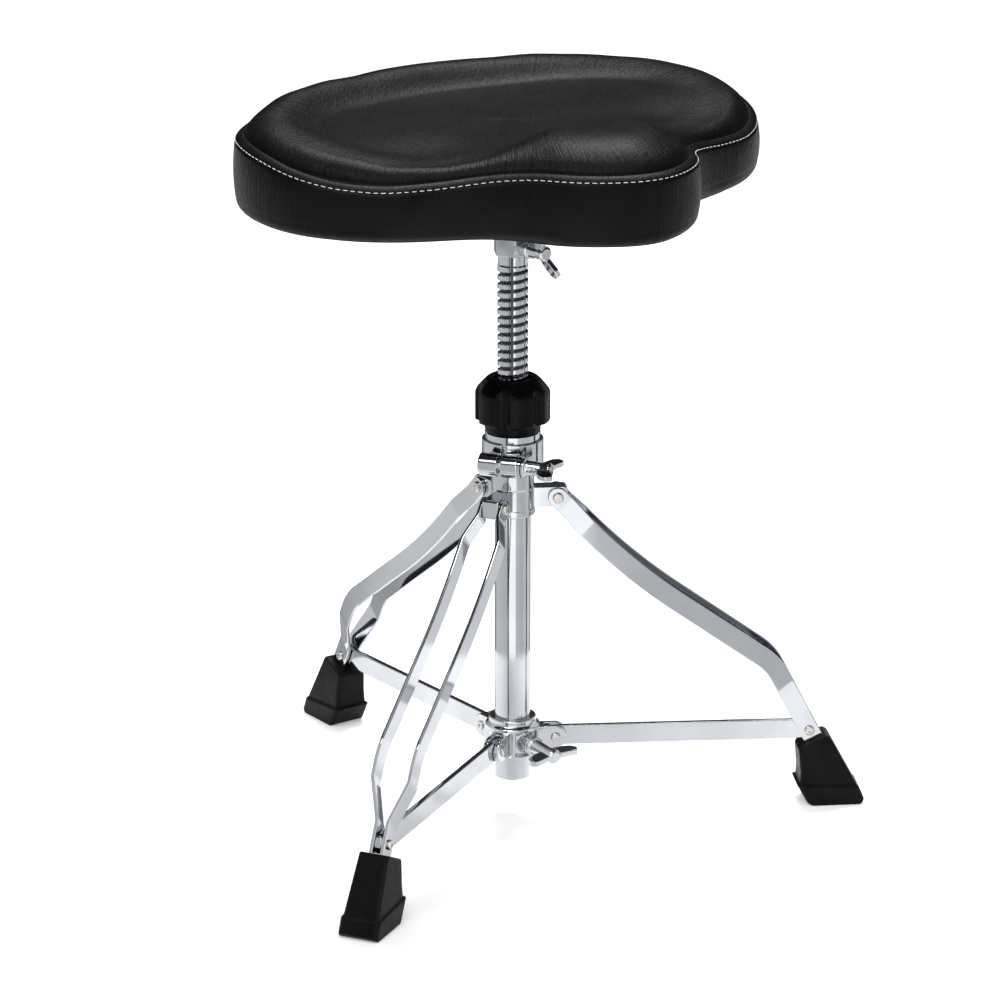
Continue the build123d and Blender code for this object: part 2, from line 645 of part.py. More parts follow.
def seat_bracket():
    top = SEAT_BOTTOM + COVER_THICKNESS
    plate = Pos(0, 0, top - FLANGE_THICKNESS / 2) * Box(FLANGE_SIZE, FLANGE_SIZE, FLANGE_THICKNESS)
    plate = fillet(plate.edges().filter_by(Axis.Z), 12.0)
    socket = extrude(Plane.XY.offset(SOCKET_LOWER_END) * RegularPolygon(17.0, 6),
                     top - FLANGE_THICKNESS - SOCKET_LOWER_END)
    rib_height = 26.0
    reach = FLANGE_SIZE / 2 - 3
    rib_outline = [(10, top - 2), (reach, top - 2), (reach, top - 5), (20, top - rib_height),
                   (10, top - rib_height)]
    rib = extrude(Plane.XZ * make_face(Polyline(*rib_outline, close=True).edges()), 2.5, both=True)
    bracket = plate + socket
    for i in range(4):
        bracket += Rot(0, 0, 90 * i) * rib
    bolt_plane = outward_plane(SEAT_BOLT_AZIMUTH, 0, SEAT_BOLT_Z)
    bracket += pin(bolt_plane, 7.5, 12, 24)
    bore_top = ROD_TOP + SIDE_GAP
    bracket -= Pos(0, 0, SOCKET_LOWER_END - 1) * Cylinder(
        ROD_RADIUS + RUN_GAP, bore_top - SOCKET_LOWER_END + 1, align=(Align.CENTER, Align.CENTER, Align.MIN))
    bracket -= pin(bolt_plane, BOLT_RADIUS + RUN_GAP, 5, 26)
    for x, y in screw_places():
        bracket -= Pos(x, y, top - FLANGE_THICKNESS / 2) * Cylinder(3.2, FLANGE_THICKNESS + 2)
    return bracket


def bracket_screws():
    plate_bottom = SEAT_BOTTOM + COVER_THICKNESS - FLANGE_THICKNESS
    pieces = []
    for x, y in screw_places():
        head = Pos(x, y, plate_bottom - 1.7) * Cylinder(6.2, 3.4)
        head = fillet(head.edges().group_by(Axis.Z)[0], 1.6)
        socket = extrude(Plane.XY.offset(plate_bottom - 3.4) * Pos(x, y) * RegularPolygon(2.6, 6), 2.0)
        shank = Pos(x, y, plate_bottom + 8) * Cylinder(3.0, 16)
        pieces.append(head + shank - socket)
    return Compound(children=pieces)


def tee_nuts():
    bottom = SEAT_BOTTOM + COVER_THICKNESS
    top = bottom + BOARD_THICKNESS
    pieces = []
    for x, y in screw_places():
        barrel = Pos(x, y, bottom + BOARD_THICKNESS / 2) * Cylinder(5.0, BOARD_THICKNESS)
        flange = Pos(x, y, top + 0.7) * Cylinder(8.6, 1.4)
        pieces.append(barrel + flange - Pos(x, y, bottom + 5) * Cylinder(3.0, 14))
    return Compound(children=pieces)


def seat_wing_bolt():
    plane = outward_plane(SEAT_BOLT_AZIMUTH, 0, SEAT_BOLT_Z)
    start = 24 + SIDE_GAP
    body = wing(plane, start, 46.0, 23.0, -65.0, 4.2)
    return body + pin(plane, BOLT_RADIUS, ROD_RADIUS + 0.4, start + 1)


single_pieces = {
    "seat_cover": seat_cover,
    "seat_foam": seat_foam,
    "seat_board": seat_board,
    "dust_cover": dust_cover,
    "seat_bracket": seat_bracket,
    "bracket_screws": bracket_screws,
    "tee_nuts": tee_nuts,
    "seat_wing_bolt": seat_wing_bolt,
    "height_rod": height_rod,
    "height_nut": height_nut,
    "nut_insert": nut_insert,
    "base_tube": base_tube,
    "upper_socket": upper_socket,
    "guide_bush": guide_bush,
    "anti_turn_key": anti_turn_key,
    "height_clamp": height_clamp,
    "clamp_bolt": clamp_bolt,
    "clamp_washer": clamp_washer,
    "clamp_wing_nut": clamp_wing_nut,
    "leg_hub": leg_hub,
    "hub_pins": hub_pins,
    "pivot_bushings": pivot_bushings,
    "stay_collar": stay_collar,
    "stay_rivets": stay_rivets,
    "collar_wing_bolt": collar_wing_bolt,
}

for name, make in single_pieces.items():
    save(make(), name)

for number, azimuth in enumerate(LEG_AZIMUTHS, start=1):
    left = leg_bar(azimuth, -1)
    right = leg_bar(azimuth, 1)
    save(left, f"leg_{number}_bar_left")
    save(right, f"leg_{number}_bar_right")
    save(leg_rivet(azimuth), f"leg_{number}_rivet")
    save(leg_foot(azimuth, (left, right)), f"leg_{number}_foot")
    save(stay(azimuth), f"stay_{number}")
    save(foot_rivet(azimuth), f"foot_rivet_{number}")
    save(stay_washers(azimuth), f"stay_washers_{number}")
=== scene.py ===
import math

import bmesh
import bpy
import numpy as np
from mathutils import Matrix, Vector


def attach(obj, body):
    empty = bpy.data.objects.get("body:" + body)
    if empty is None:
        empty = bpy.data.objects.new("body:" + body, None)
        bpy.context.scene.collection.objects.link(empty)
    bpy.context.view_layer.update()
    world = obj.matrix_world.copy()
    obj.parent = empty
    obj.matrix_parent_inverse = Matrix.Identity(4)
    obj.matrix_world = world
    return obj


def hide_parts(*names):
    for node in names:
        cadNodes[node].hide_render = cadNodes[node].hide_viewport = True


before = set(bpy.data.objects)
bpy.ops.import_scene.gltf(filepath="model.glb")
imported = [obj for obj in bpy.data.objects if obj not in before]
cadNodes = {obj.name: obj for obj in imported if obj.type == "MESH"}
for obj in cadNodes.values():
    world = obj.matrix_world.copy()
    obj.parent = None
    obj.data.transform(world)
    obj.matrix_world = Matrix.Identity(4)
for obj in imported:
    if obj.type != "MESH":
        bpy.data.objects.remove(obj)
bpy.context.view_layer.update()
print("frame loaded with", len(cadNodes), "nodes")


# Small helpers for meshes

def gridFaces(rows, columns, firstPoint=0, aroundRows=False):
    # quads between neighbouring rows of a grid that closes on itself across its columns
    lastRow = rows if aroundRows else rows - 1
    row = np.arange(lastRow)[:, None]
    column = np.arange(columns)[None, :]
    here = row * columns + column
    right = row * columns + (column + 1) % columns
    above = ((row + 1) % rows) * columns + (column + 1) % columns
    left = ((row + 1) % rows) * columns + column
    return np.stack([here, right, above, left], -1).reshape(-1, 4) + firstPoint


def openFaces(rows, columns):
    # quads between neighbouring rows of an open grid
    row = np.arange(rows - 1)[:, None]
    column = np.arange(columns - 1)[None, :]
    first = (row * columns + column).ravel()
    return np.stack([first, first + 1, first + 1 + columns, first + columns], -1)


def poleFaces(rowStart, columns, pole, outward):
    # a fan of triangles from one row of points to its pole
    column = np.arange(columns)
    edge = [rowStart + column, rowStart + (column + 1) % columns]
    if not outward:
        edge = edge[::-1]
    return np.stack([edge[0], edge[1], np.full(columns, pole)], -1)


def newPiece(name, points, faceGroups, material, body):
    faces = [face for group in faceGroups for face in group.tolist()]
    mesh = bpy.data.meshes.new(name)
    mesh.from_pydata(points.tolist(), [], faces)
    mesh.polygons.foreach_set("use_smooth", np.ones(len(faces), bool))
    mesh.materials.append(material)
    mesh.update()
    piece = bpy.data.objects.new(name, mesh)
    bpy.context.scene.collection.objects.link(piece)
    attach(piece, body)
    return piece


def addUv(piece, uvOfPoints):
    # one uv pair for each point, in metres along and across the surface
    mesh = piece.data
    corners = np.zeros(len(mesh.loops), np.int32)
    mesh.loops.foreach_get("vertex_index", corners)
    layer = mesh.uv_layers.new(name="cloth")
    layer.data.foreach_set("uv", uvOfPoints[corners].astype(np.float32).ravel())


def addNumbers(piece, name, values):
    attribute = piece.data.attributes.new(name, "FLOAT", "POINT")
    attribute.data.foreach_set("value", values.astype(np.float32).ravel())


# Small helpers for materials

def node(tree, kind, **settings):
    made = tree.nodes.new("ShaderNode" + kind)
    for key, value in settings.items():
        setattr(made, key, value)
    return made


def noiseOn(tree, coordinate, scale, detail=3.0, stretch=(1, 1, 1), roughness=0.5):
    # noise on a coordinate, stretched by scaling each axis
    mapping = node(tree, "Mapping")
    mapping.inputs["Scale"].default_value = stretch
    tree.links.new(coordinate, mapping.inputs["Vector"])
    noise = node(tree, "TexNoise")
    noise.inputs["Scale"].default_value = scale
    noise.inputs["Detail"].default_value = detail
    noise.inputs["Roughness"].default_value = roughness
    tree.links.new(mapping.outputs["Vector"], noise.inputs["Vector"])
    return noise.outputs["Fac"]


def spread(tree, value, low, high, fromLow=0.3, fromHigh=0.7):
    # carries a number from one range to another
    made = node(tree, "MapRange")
    made.inputs["From Min"].default_value = fromLow
    made.inputs["From Max"].default_value = fromHigh
    made.inputs["To Min"].default_value = low
    made.inputs["To Max"].default_value = high
    tree.links.new(value, made.inputs["Value"])
    return made.outputs["Result"]


def twoTones(tree, value, first, second, low=0.35, high=0.65):
    ramp = node(tree, "ValToRGB")
    ramp.color_ramp.elements[0].position = low
    ramp.color_ramp.elements[1].position = high
    ramp.color_ramp.elements[0].color = (*first, 1)
    ramp.color_ramp.elements[1].color = (*second, 1)
    tree.links.new(value, ramp.inputs["Fac"])
    return ramp.outputs["Color"]


def bumpOn(tree, height, strength, distance, under=None):
    bump = node(tree, "Bump")
    bump.inputs["Strength"].default_value = strength
    bump.inputs["Distance"].default_value = distance
    tree.links.new(height, bump.inputs["Height"])
    if under is not None:
        tree.links.new(under, bump.inputs["Normal"])
    return bump.outputs["Normal"]


def startMaterial(name, metallic, specular=0.5):
    material = bpy.data.materials.new(name)
    material.use_nodes = True
    tree = material.node_tree
    shader = tree.nodes["Principled BSDF"]
    shader.inputs["Metallic"].default_value = metallic
    shader.inputs["Specular IOR Level"].default_value = specular
    place = node(tree, "TexCoord").outputs["Object"]
    return material, tree, shader, place


finishes = {
    # name: metallic, dark tone, light tone, tone scale, roughness low and high, roughness scale,
    # then pairs of bump scale, strength and depth
    "chromePlate": (1.0, (0.43, 0.445, 0.47), (0.50, 0.515, 0.54), 14, 0.04, 0.09, 45,
                    [(22, 0.10, 0.0006)]),
    "chromeCasting": (1.0, (0.43, 0.445, 0.465), (0.52, 0.53, 0.55), 30, 0.06, 0.13, 80,
                      [(70, 0.22, 0.0007), (420, 0.10, 0.0002)]),
    "rivetSteel": (1.0, (0.46, 0.43, 0.40), (0.60, 0.57, 0.54), 220, 0.16, 0.32, 300,
                   [(500, 0.16, 0.0002)]),
    "zincSteel": (1.0, (0.56, 0.57, 0.57), (0.70, 0.70, 0.68), 150, 0.24, 0.42, 260,
                  [(600, 0.14, 0.0002)]),
    "greyCasting": (1.0, (0.33, 0.34, 0.35), (0.47, 0.48, 0.49), 90, 0.34, 0.52, 150,
                    [(260, 0.30, 0.0004), (1400, 0.30, 0.00015)]),
    "nutPlastic": (0.0, (0.0014, 0.0014, 0.0015), (0.003, 0.003, 0.0032), 60, 0.22, 0.34, 120,
                   [(900, 0.10, 0.0001), (60, 0.05, 0.0003)]),
    "bushPlastic": (0.0, (0.55, 0.54, 0.50), (0.66, 0.65, 0.61), 120, 0.40, 0.55, 200,
                    [(900, 0.12, 0.0001)]),
    "footRubber": (0.0, (0.0018, 0.0018, 0.0020), (0.0042, 0.0042, 0.0046), 55, 0.34, 0.50, 140,
                   [(750, 0.22, 0.0002), (90, 0.16, 0.0005)]),
    "dustFabric": (0.0, (0.010, 0.010, 0.011), (0.026, 0.026, 0.027), 1600, 0.80, 0.95, 900,
                   [(1500, 0.55, 0.0003), (240, 0.25, 0.0006)]),
}


def makeFinish(name):
    # two tones, smudged roughness and stacked bumps, each from noise on the object's own place
    metallic, dark, light, toneScale, smooth, rough, roughScale, bumps = finishes[name]
    material, tree, shader, place = startMaterial(name, metallic, 0.5 if metallic else 0.08)
    tone = twoTones(tree, noiseOn(tree, place, toneScale), dark, light)
    tree.links.new(tone, shader.inputs["Base Color"])
    smudge = spread(tree, noiseOn(tree, place, roughScale, 5.0), smooth, rough)
    tree.links.new(smudge, shader.inputs["Roughness"])
    normal = None
    for scale, strength, depth in bumps:
        normal = bumpOn(tree, noiseOn(tree, place, scale, 4.0), strength, depth, normal)
    tree.links.new(normal, shader.inputs["Normal"])
    return material


materials = {name: makeFinish(name) for name in finishes}


def makePlywood():
    # wood tone from noise drawn out along X, and thin darker plies across the board's thickness
    material, tree, shader, place = startMaterial("birchPlywood", 0.0, 0.3)
    grain = noiseOn(tree, place, 60, 6.0, (0.12, 1.6, 1.0))
    tone = twoTones(tree, grain, (0.42, 0.26, 0.13), (0.62, 0.43, 0.25))
    plies = node(tree, "TexWave", bands_direction="Z")
    plies.inputs["Scale"].default_value = 130
    plies.inputs["Distortion"].default_value = 0.6
    tree.links.new(place, plies.inputs["Vector"])
    mix = node(tree, "Mix", data_type="RGBA", blend_type="MULTIPLY")
    mix.inputs["Factor"].default_value = 0.45
    tree.links.new(tone, mix.inputs["A"])
    tree.links.new(plies.outputs["Color"], mix.inputs["B"])
    tree.links.new(mix.outputs["Result"], shader.inputs["Base Color"])
    tree.links.new(spread(tree, grain, 0.55, 0.75), shader.inputs["Roughness"])
    tree.links.new(bumpOn(tree, grain, 0.2, 0.0003), shader.inputs["Normal"])
    return material


vinylValues = {
    "dark": (0.0030, 0.0034, 0.0036),
    "light": (0.0052, 0.0057, 0.0058),
    "smooth": 0.34,
    "rough": 0.47,
    "grainScale": 1150,     # pebbles of the leather grain, per metre
    "creaseScale": 330,     # fine folds that run across the edge, per metre
}


def makeVinyl():
    # fine pebble grain, slanting surface creases, and folds across the edge where "fold" is high
    v = vinylValues
    material, tree, shader, place = startMaterial("blackVinyl", 0.0, 0.07)
    shader.inputs["IOR"].default_value = 1.5
    uv = node(tree, "UVMap", uv_map="cloth").outputs["UV"]
    fold = node(tree, "Attribute", attribute_name="fold").outputs["Fac"]
    blotch = noiseOn(tree, place, 24, 4.0)
    tree.links.new(twoTones(tree, blotch, v["dark"], v["light"]), shader.inputs["Base Color"])
    wear = noiseOn(tree, place, 420, 5.0)
    tree.links.new(spread(tree, wear, v["smooth"], v["rough"]), shader.inputs["Roughness"])
    pebbles = node(tree, "TexVoronoi", feature="SMOOTH_F1")
    pebbles.inputs["Scale"].default_value = v["grainScale"]
    pebbles.inputs["Smoothness"].default_value = 0.4
    tree.links.new(place, pebbles.inputs["Vector"])
    slant = node(tree, "Mapping")
    slant.inputs["Rotation"].default_value = (0, 0, math.radians(38))
    tree.links.new(place, slant.inputs["Vector"])
    creases = noiseOn(tree, slant.outputs["Vector"], 520, 4.0, (1.0, 0.22, 0.7))
    folds = noiseOn(tree, uv, v["creaseScale"], 4.0, (1.0, 0.10, 1.0), 0.6)
    foldHeight = node(tree, "Math", operation="MULTIPLY")
    tree.links.new(folds, foldHeight.inputs[0])
    tree.links.new(fold, foldHeight.inputs[1])
    normal = bumpOn(tree, foldHeight.outputs["Value"], 0.9, 0.0016)
    normal = bumpOn(tree, creases, 0.6, 0.0006, normal)
    normal = bumpOn(tree, pebbles.outputs["Distance"], 0.4, 0.00022, normal)
    tree.links.new(normal, shader.inputs["Normal"])
    return material


def makeThread():
    # white sewing thread: bright, matt, with a twist that runs round it
    material, tree, shader, place = startMaterial("seamThread", 0.0, 0.3)
    twist = noiseOn(tree, place, 1500, 3.0)
    tree.links.new(twoTones(tree, twist, (0.55, 0.55, 0.54), (0.86, 0.86, 0.84)),
                   shader.inputs["Base Color"])
    tree.links.new(spread(tree, twist, 0.6, 0.8), shader.inputs["Roughness"])
    tree.links.new(bumpOn(tree, twist, 0.4, 0.0002), shader.inputs["Normal"])
    return material


def makeGrooveShadedScrew():
    # bright plate with painted shade: its colour goes to near black where the attribute is high, down in the
    # groove and the keyway
    material, tree, shader, place = startMaterial("grooveShadedScrew", 1.0)
    paintedGrooveShade = node(tree, "Attribute", attribute_name="paintedGrooveShade").outputs["Fac"]
    streaks = noiseOn(tree, place, 160, 4.0, (1.0, 1.0, 0.35))
    tone = twoTones(tree, streaks, finishes["chromePlate"][1], finishes["chromePlate"][2])
    # painted shade: the groove depth and the keyway mix the plate's tone towards near black
    mix = node(tree, "Mix", data_type="RGBA")
    tree.links.new(spread(tree, paintedGrooveShade, 0.0, 0.93, 0.35, 0.85), mix.inputs["Factor"])
    tree.links.new(tone, mix.inputs["A"])
    mix.inputs["B"].default_value = (0.012, 0.012, 0.013, 1)
    tree.links.new(mix.outputs["Result"], shader.inputs["Base Color"])
    tree.links.new(spread(tree, streaks, 0.06, 0.14), shader.inputs["Roughness"])
    tree.links.new(bumpOn(tree, streaks, 0.08, 0.0003), shader.inputs["Normal"])
    return material


materials["grooveShadedScrew"] = makeGrooveShadedScrew()
materials["birchPlywood"] = makePlywood()
materials["blackVinyl"] = makeVinyl()
materials["seamThread"] = makeThread()
print("materials made:", len(materials))


# Seat cushion: a skin over foam, worked out as rings round the saddle outline

seatValues = {
    "halfOutline": [(0, -195), (40, -181), (68, -154), (81, -132), (104, -108), (151, -86),
                    (193, -59), (221, -19), (229, 27), (220, 75), (189, 120), (143, 155),
                    (78, 176), (0, 185)],       # horn to the back, right side, in millimetres
    "turn": -2.5, "shift": 6.0,                 # how the cushion stands on its rod
    "bottom": 534.0,
    "cornerRadius": 12.0,
    "hemWidth": 30.0,
    "boardInset": 18.0,
    "boardTop": 547.3,
    "borderWidth": 8.4,
    "bulge": 1.6,
    # angle from the horn in degrees, then a height or a width in millimetres
    "seamHeight": [(0, 588), (26, 587), (40, 582.5), (54, 577.5), (67, 575), (77, 577.5),
                   (86, 583), (95, 589), (106, 592.5), (125, 591), (180, 592)],
    "crestHeight": [(0, 615), (20, 613), (34, 603), (46, 594), (58, 590), (70, 591), (84, 599.5),
                    (100, 607), (118, 611), (140, 613.5), (180, 614.5)],
    "crestInset": [(0, 60), (20, 54), (34, 36), (46, 24), (60, 21), (90, 28), (130, 32), (180, 32)],
    "slopeWidth": [(0, 48), (30, 42), (60, 34), (90, 40), (180, 34)],
    "weltRise": 4.6,                            # where the top starts, above the seam
    "dishFloor": 595.5, "dishMiddle": 45, "dishSpread": 5200,
    # a rise or a hollow: its height, then how far it reaches sideways and lengthways
    "hornRise": 9.0, "hornReach": (56, 44), "hornPlace": 124,
    "thighHollow": 9.5, "thighReach": (60, 46), "thighPlace": (128, 50),
    "roundness": (2.2, 0.75),                   # powers that set how full the bolster is
    "samples": 720,
}


def closedSpline(knots):
    # periodic cubic: at each knot, the bends of neighbours balance the change of slope
    span = np.linalg.norm(np.roll(knots, -1, 0) - knots, axis=1)
    before = np.roll(span, 1)
    size = len(knots)
    eye = np.eye(size)
    matrix = (2 * (before + span)[:, None] * eye + before[:, None] * np.roll(eye, -1, 1)
              + span[:, None] * np.roll(eye, 1, 1))
    slope = (np.roll(knots, -1, 0) - knots) / span[:, None]
    bend = np.linalg.solve(matrix, 6 * (slope - np.roll(slope, 1, 0)))
    steps = 6000
    fine = np.linspace(0, size, steps, endpoint=False)
    index = fine.astype(int)
    after = (index + 1) % size
    u = (fine - index)[:, None]
    stretch = span[index][:, None] ** 2 / 6
    curve = ((1 - u) * knots[index] + u * knots[after]
             + stretch * (((1 - u) ** 3 - (1 - u)) * bend[index] + (u ** 3 - u) * bend[after]))
    step = np.linalg.norm(np.roll(curve, -1, 0) - curve, axis=1)
    length = np.concatenate([[0], np.cumsum(step)])
    return curve, length


def outlineAt(curve, length, where):
    # points and outward directions at distances along the closed curve
    loop = np.vstack([curve, curve[:1]])
    total = length[-1]

    def at(distance):
        distance = distance % total
        return np.stack([np.interp(distance, length, loop[:, k]) for k in (0, 1)], -1)

    points = at(where)
    tangent = at(where + 1.5) - at(where - 1.5)
    tangent /= np.linalg.norm(tangent, axis=1)[:, None]
    outward = np.stack([tangent[:, 1], -tangent[:, 0]], -1)
    return points, outward


def fromHorn(x, y):
    # angle in degrees from the horn's direction, the same on both sides
    return np.degrees(np.arctan2(np.abs(x), -y))


def fromTable(name, angle):
    table = np.array(seatValues[name], float)
    fine = np.linspace(0, 180, 361)
    soft = np.interp(fine, table[:, 0], table[:, 1])
    mirrored = np.concatenate([soft[20:0:-1], soft, soft[-2:-22:-1]])
    window = np.hanning(25)
    smooth = np.convolve(mirrored, window / window.sum(), "same")[20:-20]
    return np.interp(angle, fine, smooth)


def ripple(along, across, total, shortest, longest, count, slant, seed):
    # a sum of sine waves of many lengths that all close up round the edge
    random = np.random.default_rng(seed)
    low = int(total / longest)
    high = int(total / shortest)
    result = np.zeros(np.broadcast(along, across).shape)
    for wave in random.integers(low, high, count):
        turn = random.uniform(0, 2 * math.pi)
        lean = random.normal(0, slant)
        result += np.sin(2 * math.pi * (wave * along / total + lean * across) + turn)
    return result / math.sqrt(count)


def sharpen(wave):
    # narrow valleys between broad rounded folds
    return 1 - np.abs(np.clip(wave, -2, 2)) ** 0.7


def onRod(points):
    # turns and shifts the cushion's own shape to where it stands on the rod
    a = math.radians(seatValues["turn"])
    x = points[..., 0] * math.cos(a) - points[..., 1] * math.sin(a) + seatValues["shift"]
    y = points[..., 0] * math.sin(a) + points[..., 1] * math.cos(a)
    return np.stack([x, y, points[..., 2]], -1)


def makeSeat():
    # rings from the middle of the top, out over the rim, down the band and under to the board
    v = seatValues
    half = np.array(v["halfOutline"], float)
    other = half[-2:0:-1] * [-1, 1]
    curve, length = closedSpline(np.vstack([half, other]))
    total = length[-1]
    even = np.linspace(0, total, v["samples"], endpoint=False)
    extra = np.array([-1.5, -1.0, -0.55, 0.55, 1.0, 1.5])     # close beside the seam at the horn
    along = np.sort(np.concatenate([even, extra % total]))
    edge, outward = outlineAt(curve, length, along)
    columns = len(along)
    angle = fromHorn(edge[:, 0], edge[:, 1])
    seam = fromTable("seamHeight", angle)
    fromSeam = np.minimum(along, total - along)               # distance from the horn's own seam
    seamCut = np.exp(-(fromSeam / 0.75) ** 2)

    def crown(x, y, inset):
        # height from the distance to the edge: a power curve up to the crest, then a cosine
        # down to the dish, which is a shallow bowl less two thigh hollows plus a rise on the horn
        turn = fromHorn(x, y)
        top = fromTable("crestHeight", turn)
        middle = fromTable("crestInset", turn)
        width = fromTable("slopeWidth", turn)
        start = fromTable("seamHeight", turn) + v["weltRise"]
        thighX, thighY = v["thighReach"]
        sideways, forward = v["thighPlace"]
        hornX, hornY = v["hornReach"]
        full, soft = v["roundness"]
        dish = (v["dishFloor"] + (x ** 2 + (y - v["dishMiddle"]) ** 2) / v["dishSpread"]
                - v["thighHollow"] * np.exp(-((np.abs(x) - sideways) / thighX) ** 2
                                            - ((y + forward) / thighY) ** 2)
                + v["hornRise"] * np.exp(-(x / hornX) ** 2 - ((y + v["hornPlace"]) / hornY) ** 2))
        outer = np.clip((inset - v["borderWidth"]) / (middle - v["borderWidth"]), 0, 1)
        rise = start + (top - start) * np.clip(1 - (1 - outer) ** full, 0, 1) ** soft
        inner = np.clip((inset - middle) / width, 0, 1)
        fall = dish + (top - dish) * (0.5 + 0.5 * np.cos(math.pi * inner))
        return np.where(inset < middle, rise, fall)

    # rings of the top, from the middle outward: first scaled, then at true insets
    rimInset = 15.0
    scaled = 1 - (1 - np.linspace(0, 1, 74)[1:-1]) ** 1.18
    rim = edge - outward * rimInset
    middle = np.array([0.0, 10.0])
    topRings = [middle + (rim - middle) * k for k in scaled]
    insets = [None] * len(topRings)
    for inset in (15.0, 13.6, 12.4, 11.3, 10.4, 9.7, 9.2, 8.8):
        topRings.append(edge - outward * inset)
        insets.append(inset)
    flat = np.array(topRings)
    away = np.zeros(flat.shape[:2])
    sparse = edge[::3]
    for ring, inset in enumerate(insets):
        if inset is None:
            gap = flat[ring][:, None, :] - sparse[None, :, :]
            near = np.argmin((gap ** 2).sum(-1), 1)
            # nearest point on the outline's own straight pieces
            before = sparse[(near - 1) % len(sparse)]
            after = sparse[(near + 1) % len(sparse)]
            away[ring] = np.minimum(segmentDistance(flat[ring], before, sparse[near]),
                                    segmentDistance(flat[ring], sparse[near], after))
        else:
            away[ring] = inset
    x, y = flat[..., 0], flat[..., 1]
    z = crown(x, y, away)

    # puckers: short folds that run in from the seam and up the inner slope of the rim
    group = 0.55 + 0.45 * ripple(along, 0.0, total, 60, 260, 9, 0, 3)
    short = sharpen(ripple(along[None, :], away, total, 6.5, 15, 26, 0.012, 5))
    nearSeam = np.exp(-((away - 11) / 9) ** 2)
    onSlope = np.exp(-((away - 40) / 13) ** 2)
    hornSide = np.exp(-((angle - 26) / 13) ** 2)
    backCorner = np.exp(-((angle - 118) / 26) ** 2)
    amount = (0.30 * nearSeam * group * (1 + 0.9 * hornSide) + onSlope * group * (0.10 + 0.28 * backCorner))
    z = z + amount * (short - 0.45)
    soft = ripple(along[None, :], away, total, 45, 160, 10, 0.004, 11)
    z = z + 0.35 * soft * np.exp(-((away - 26) / 22) ** 2)
    foldTop = 0.75 * nearSeam + 0.85 * onSlope * (0.4 + backCorner) + 0.12

    # border strip, seam, side band, rounded bottom corner, hem, and the pocket over the board
    radius = v["cornerRadius"]
    bottom = v["bottom"]
    rings = [(8.45, seam + 3.2, 0.2), (8.1, seam + 3.3, 0.3), (7.6, seam + 4.1, 0.4), (6.2, seam + 3.9, 0.5),
             (4.6, seam + 3.2, 0.5), (3.0, seam + 2.3, 0.5), (1.8, seam + 1.4, 0.5),
             (1.1, seam + 0.75, 0.4), (0.9, seam + 0.25, 0.3), (1.0, seam - 0.2, 0.3),
             (0.75, seam - 0.7, 0.4), (0.2, seam - 1.3, 0.5)]
    bandRows = 17
    for k in range(1, bandRows):
        share = k / bandRows
        height = (seam - 1.3) * (1 - share) + (bottom + radius) * share
        rings.append((0.2 * (1 - share) - v["bulge"] * math.sin(math.pi * share) ** 0.8, height, 0.9))
    for k in range(0, 9):
        turn = math.pi / 2 * k / 8
        rings.append((radius * (1 - math.cos(turn)), bottom + radius * (1 - math.sin(turn)) + 0 * seam, 0.5))
    for inset in (16.0, 20.0, v["hemWidth"]):
        rings.append((inset, bottom + 0 * seam, 0.3))
    rings.append((v["hemWidth"], bottom + 1.1 + 0 * seam, 0.0))
    rings.append((v["boardInset"] + 0.1, bottom + 1.1 + 0 * seam, 0.0))
    rings.append((v["boardInset"] + 0.1, v["boardTop"] + 0 * seam, 0.0))
    sideFold = 0.45 + 0.55 * np.exp(-((angle - 52) / 24) ** 2)
    bandShort = sharpen(ripple(along, 0.0, total, 5.5, 13, 24, 0, 21)) - 0.45
    bandSoft = ripple(along, 0.0, total, 50, 180, 9, 0, 23)
    sideFlat, sideHeight, sideMark, sideAcross = [], [], [], []
    across = 0.0
    last = None
    for inset, height, mark in rings:
        share = np.clip((seam - height) / (seam - bottom), 0, 1)
        onBand = np.sin(math.pi * share)
        push = (0.28 * bandShort * sideFold + 0.45 * bandSoft) * onBand
        cut = 0.9 * seamCut if mark > 0.35 and inset < 9 else 0
        sideFlat.append(edge + outward * (push - inset - cut)[:, None])
        sideHeight.append(height)
        sideMark.append(np.full(columns, mark) * np.where(mark > 0.8, sideFold, 0.4))
        if last is not None:
            across += math.hypot(inset - last[0], float(np.mean(height - last[1])))
        last = (inset, height)
        sideAcross.append(np.full(columns, across))
    under = edge - outward * v["boardInset"]
    for k in (0.75, 0.5, 0.25):
        sideFlat.append(middle + (under - middle) * k)
        sideHeight.append(v["boardTop"] + 0 * seam)
        sideMark.append(np.zeros(columns))
        sideAcross.append(np.full(columns, across + 40))

    ringCount = len(flat) + len(sideFlat)
    allFlat = np.concatenate([flat, np.array(sideFlat)])
    allHeight = np.concatenate([z, np.array(sideHeight)])
    points = np.concatenate([allFlat, allHeight[..., None]], -1).reshape(-1, 3)
    centre = crown(np.array([middle[0]]), np.array([middle[1]]), np.array([150.0]))[0]
    points = onRod(np.vstack([points, [[*middle, centre], [*middle, v["boardTop"]]]])) / 1000
    quads = gridFaces(ringCount, columns)[:, ::-1]
    topPole = poleFaces(0, columns, len(points) - 2, True)
    lowPole = poleFaces((ringCount - 1) * columns, columns, len(points) - 1, False)
    cushion = newPiece("seatCushion", points, [quads, topPole, lowPole], materials["blackVinyl"],
                       "seat")
    uvAcross = np.concatenate([-away, np.array(sideAcross)]).reshape(-1)
    uvAlong = np.tile(along, ringCount)
    uv = np.vstack([np.stack([uvAlong, uvAcross], -1), [[0, 0], [0, 0]]]) / 1000
    addUv(cushion, uv)
    fold = np.concatenate([foldTop * np.ones_like(away), np.array(sideMark)]).reshape(-1)
    addNumbers(cushion, "fold", np.concatenate([fold, [0.1, 0.0]]))
    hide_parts("seat_cover", "seat_foam")
    return curve, length


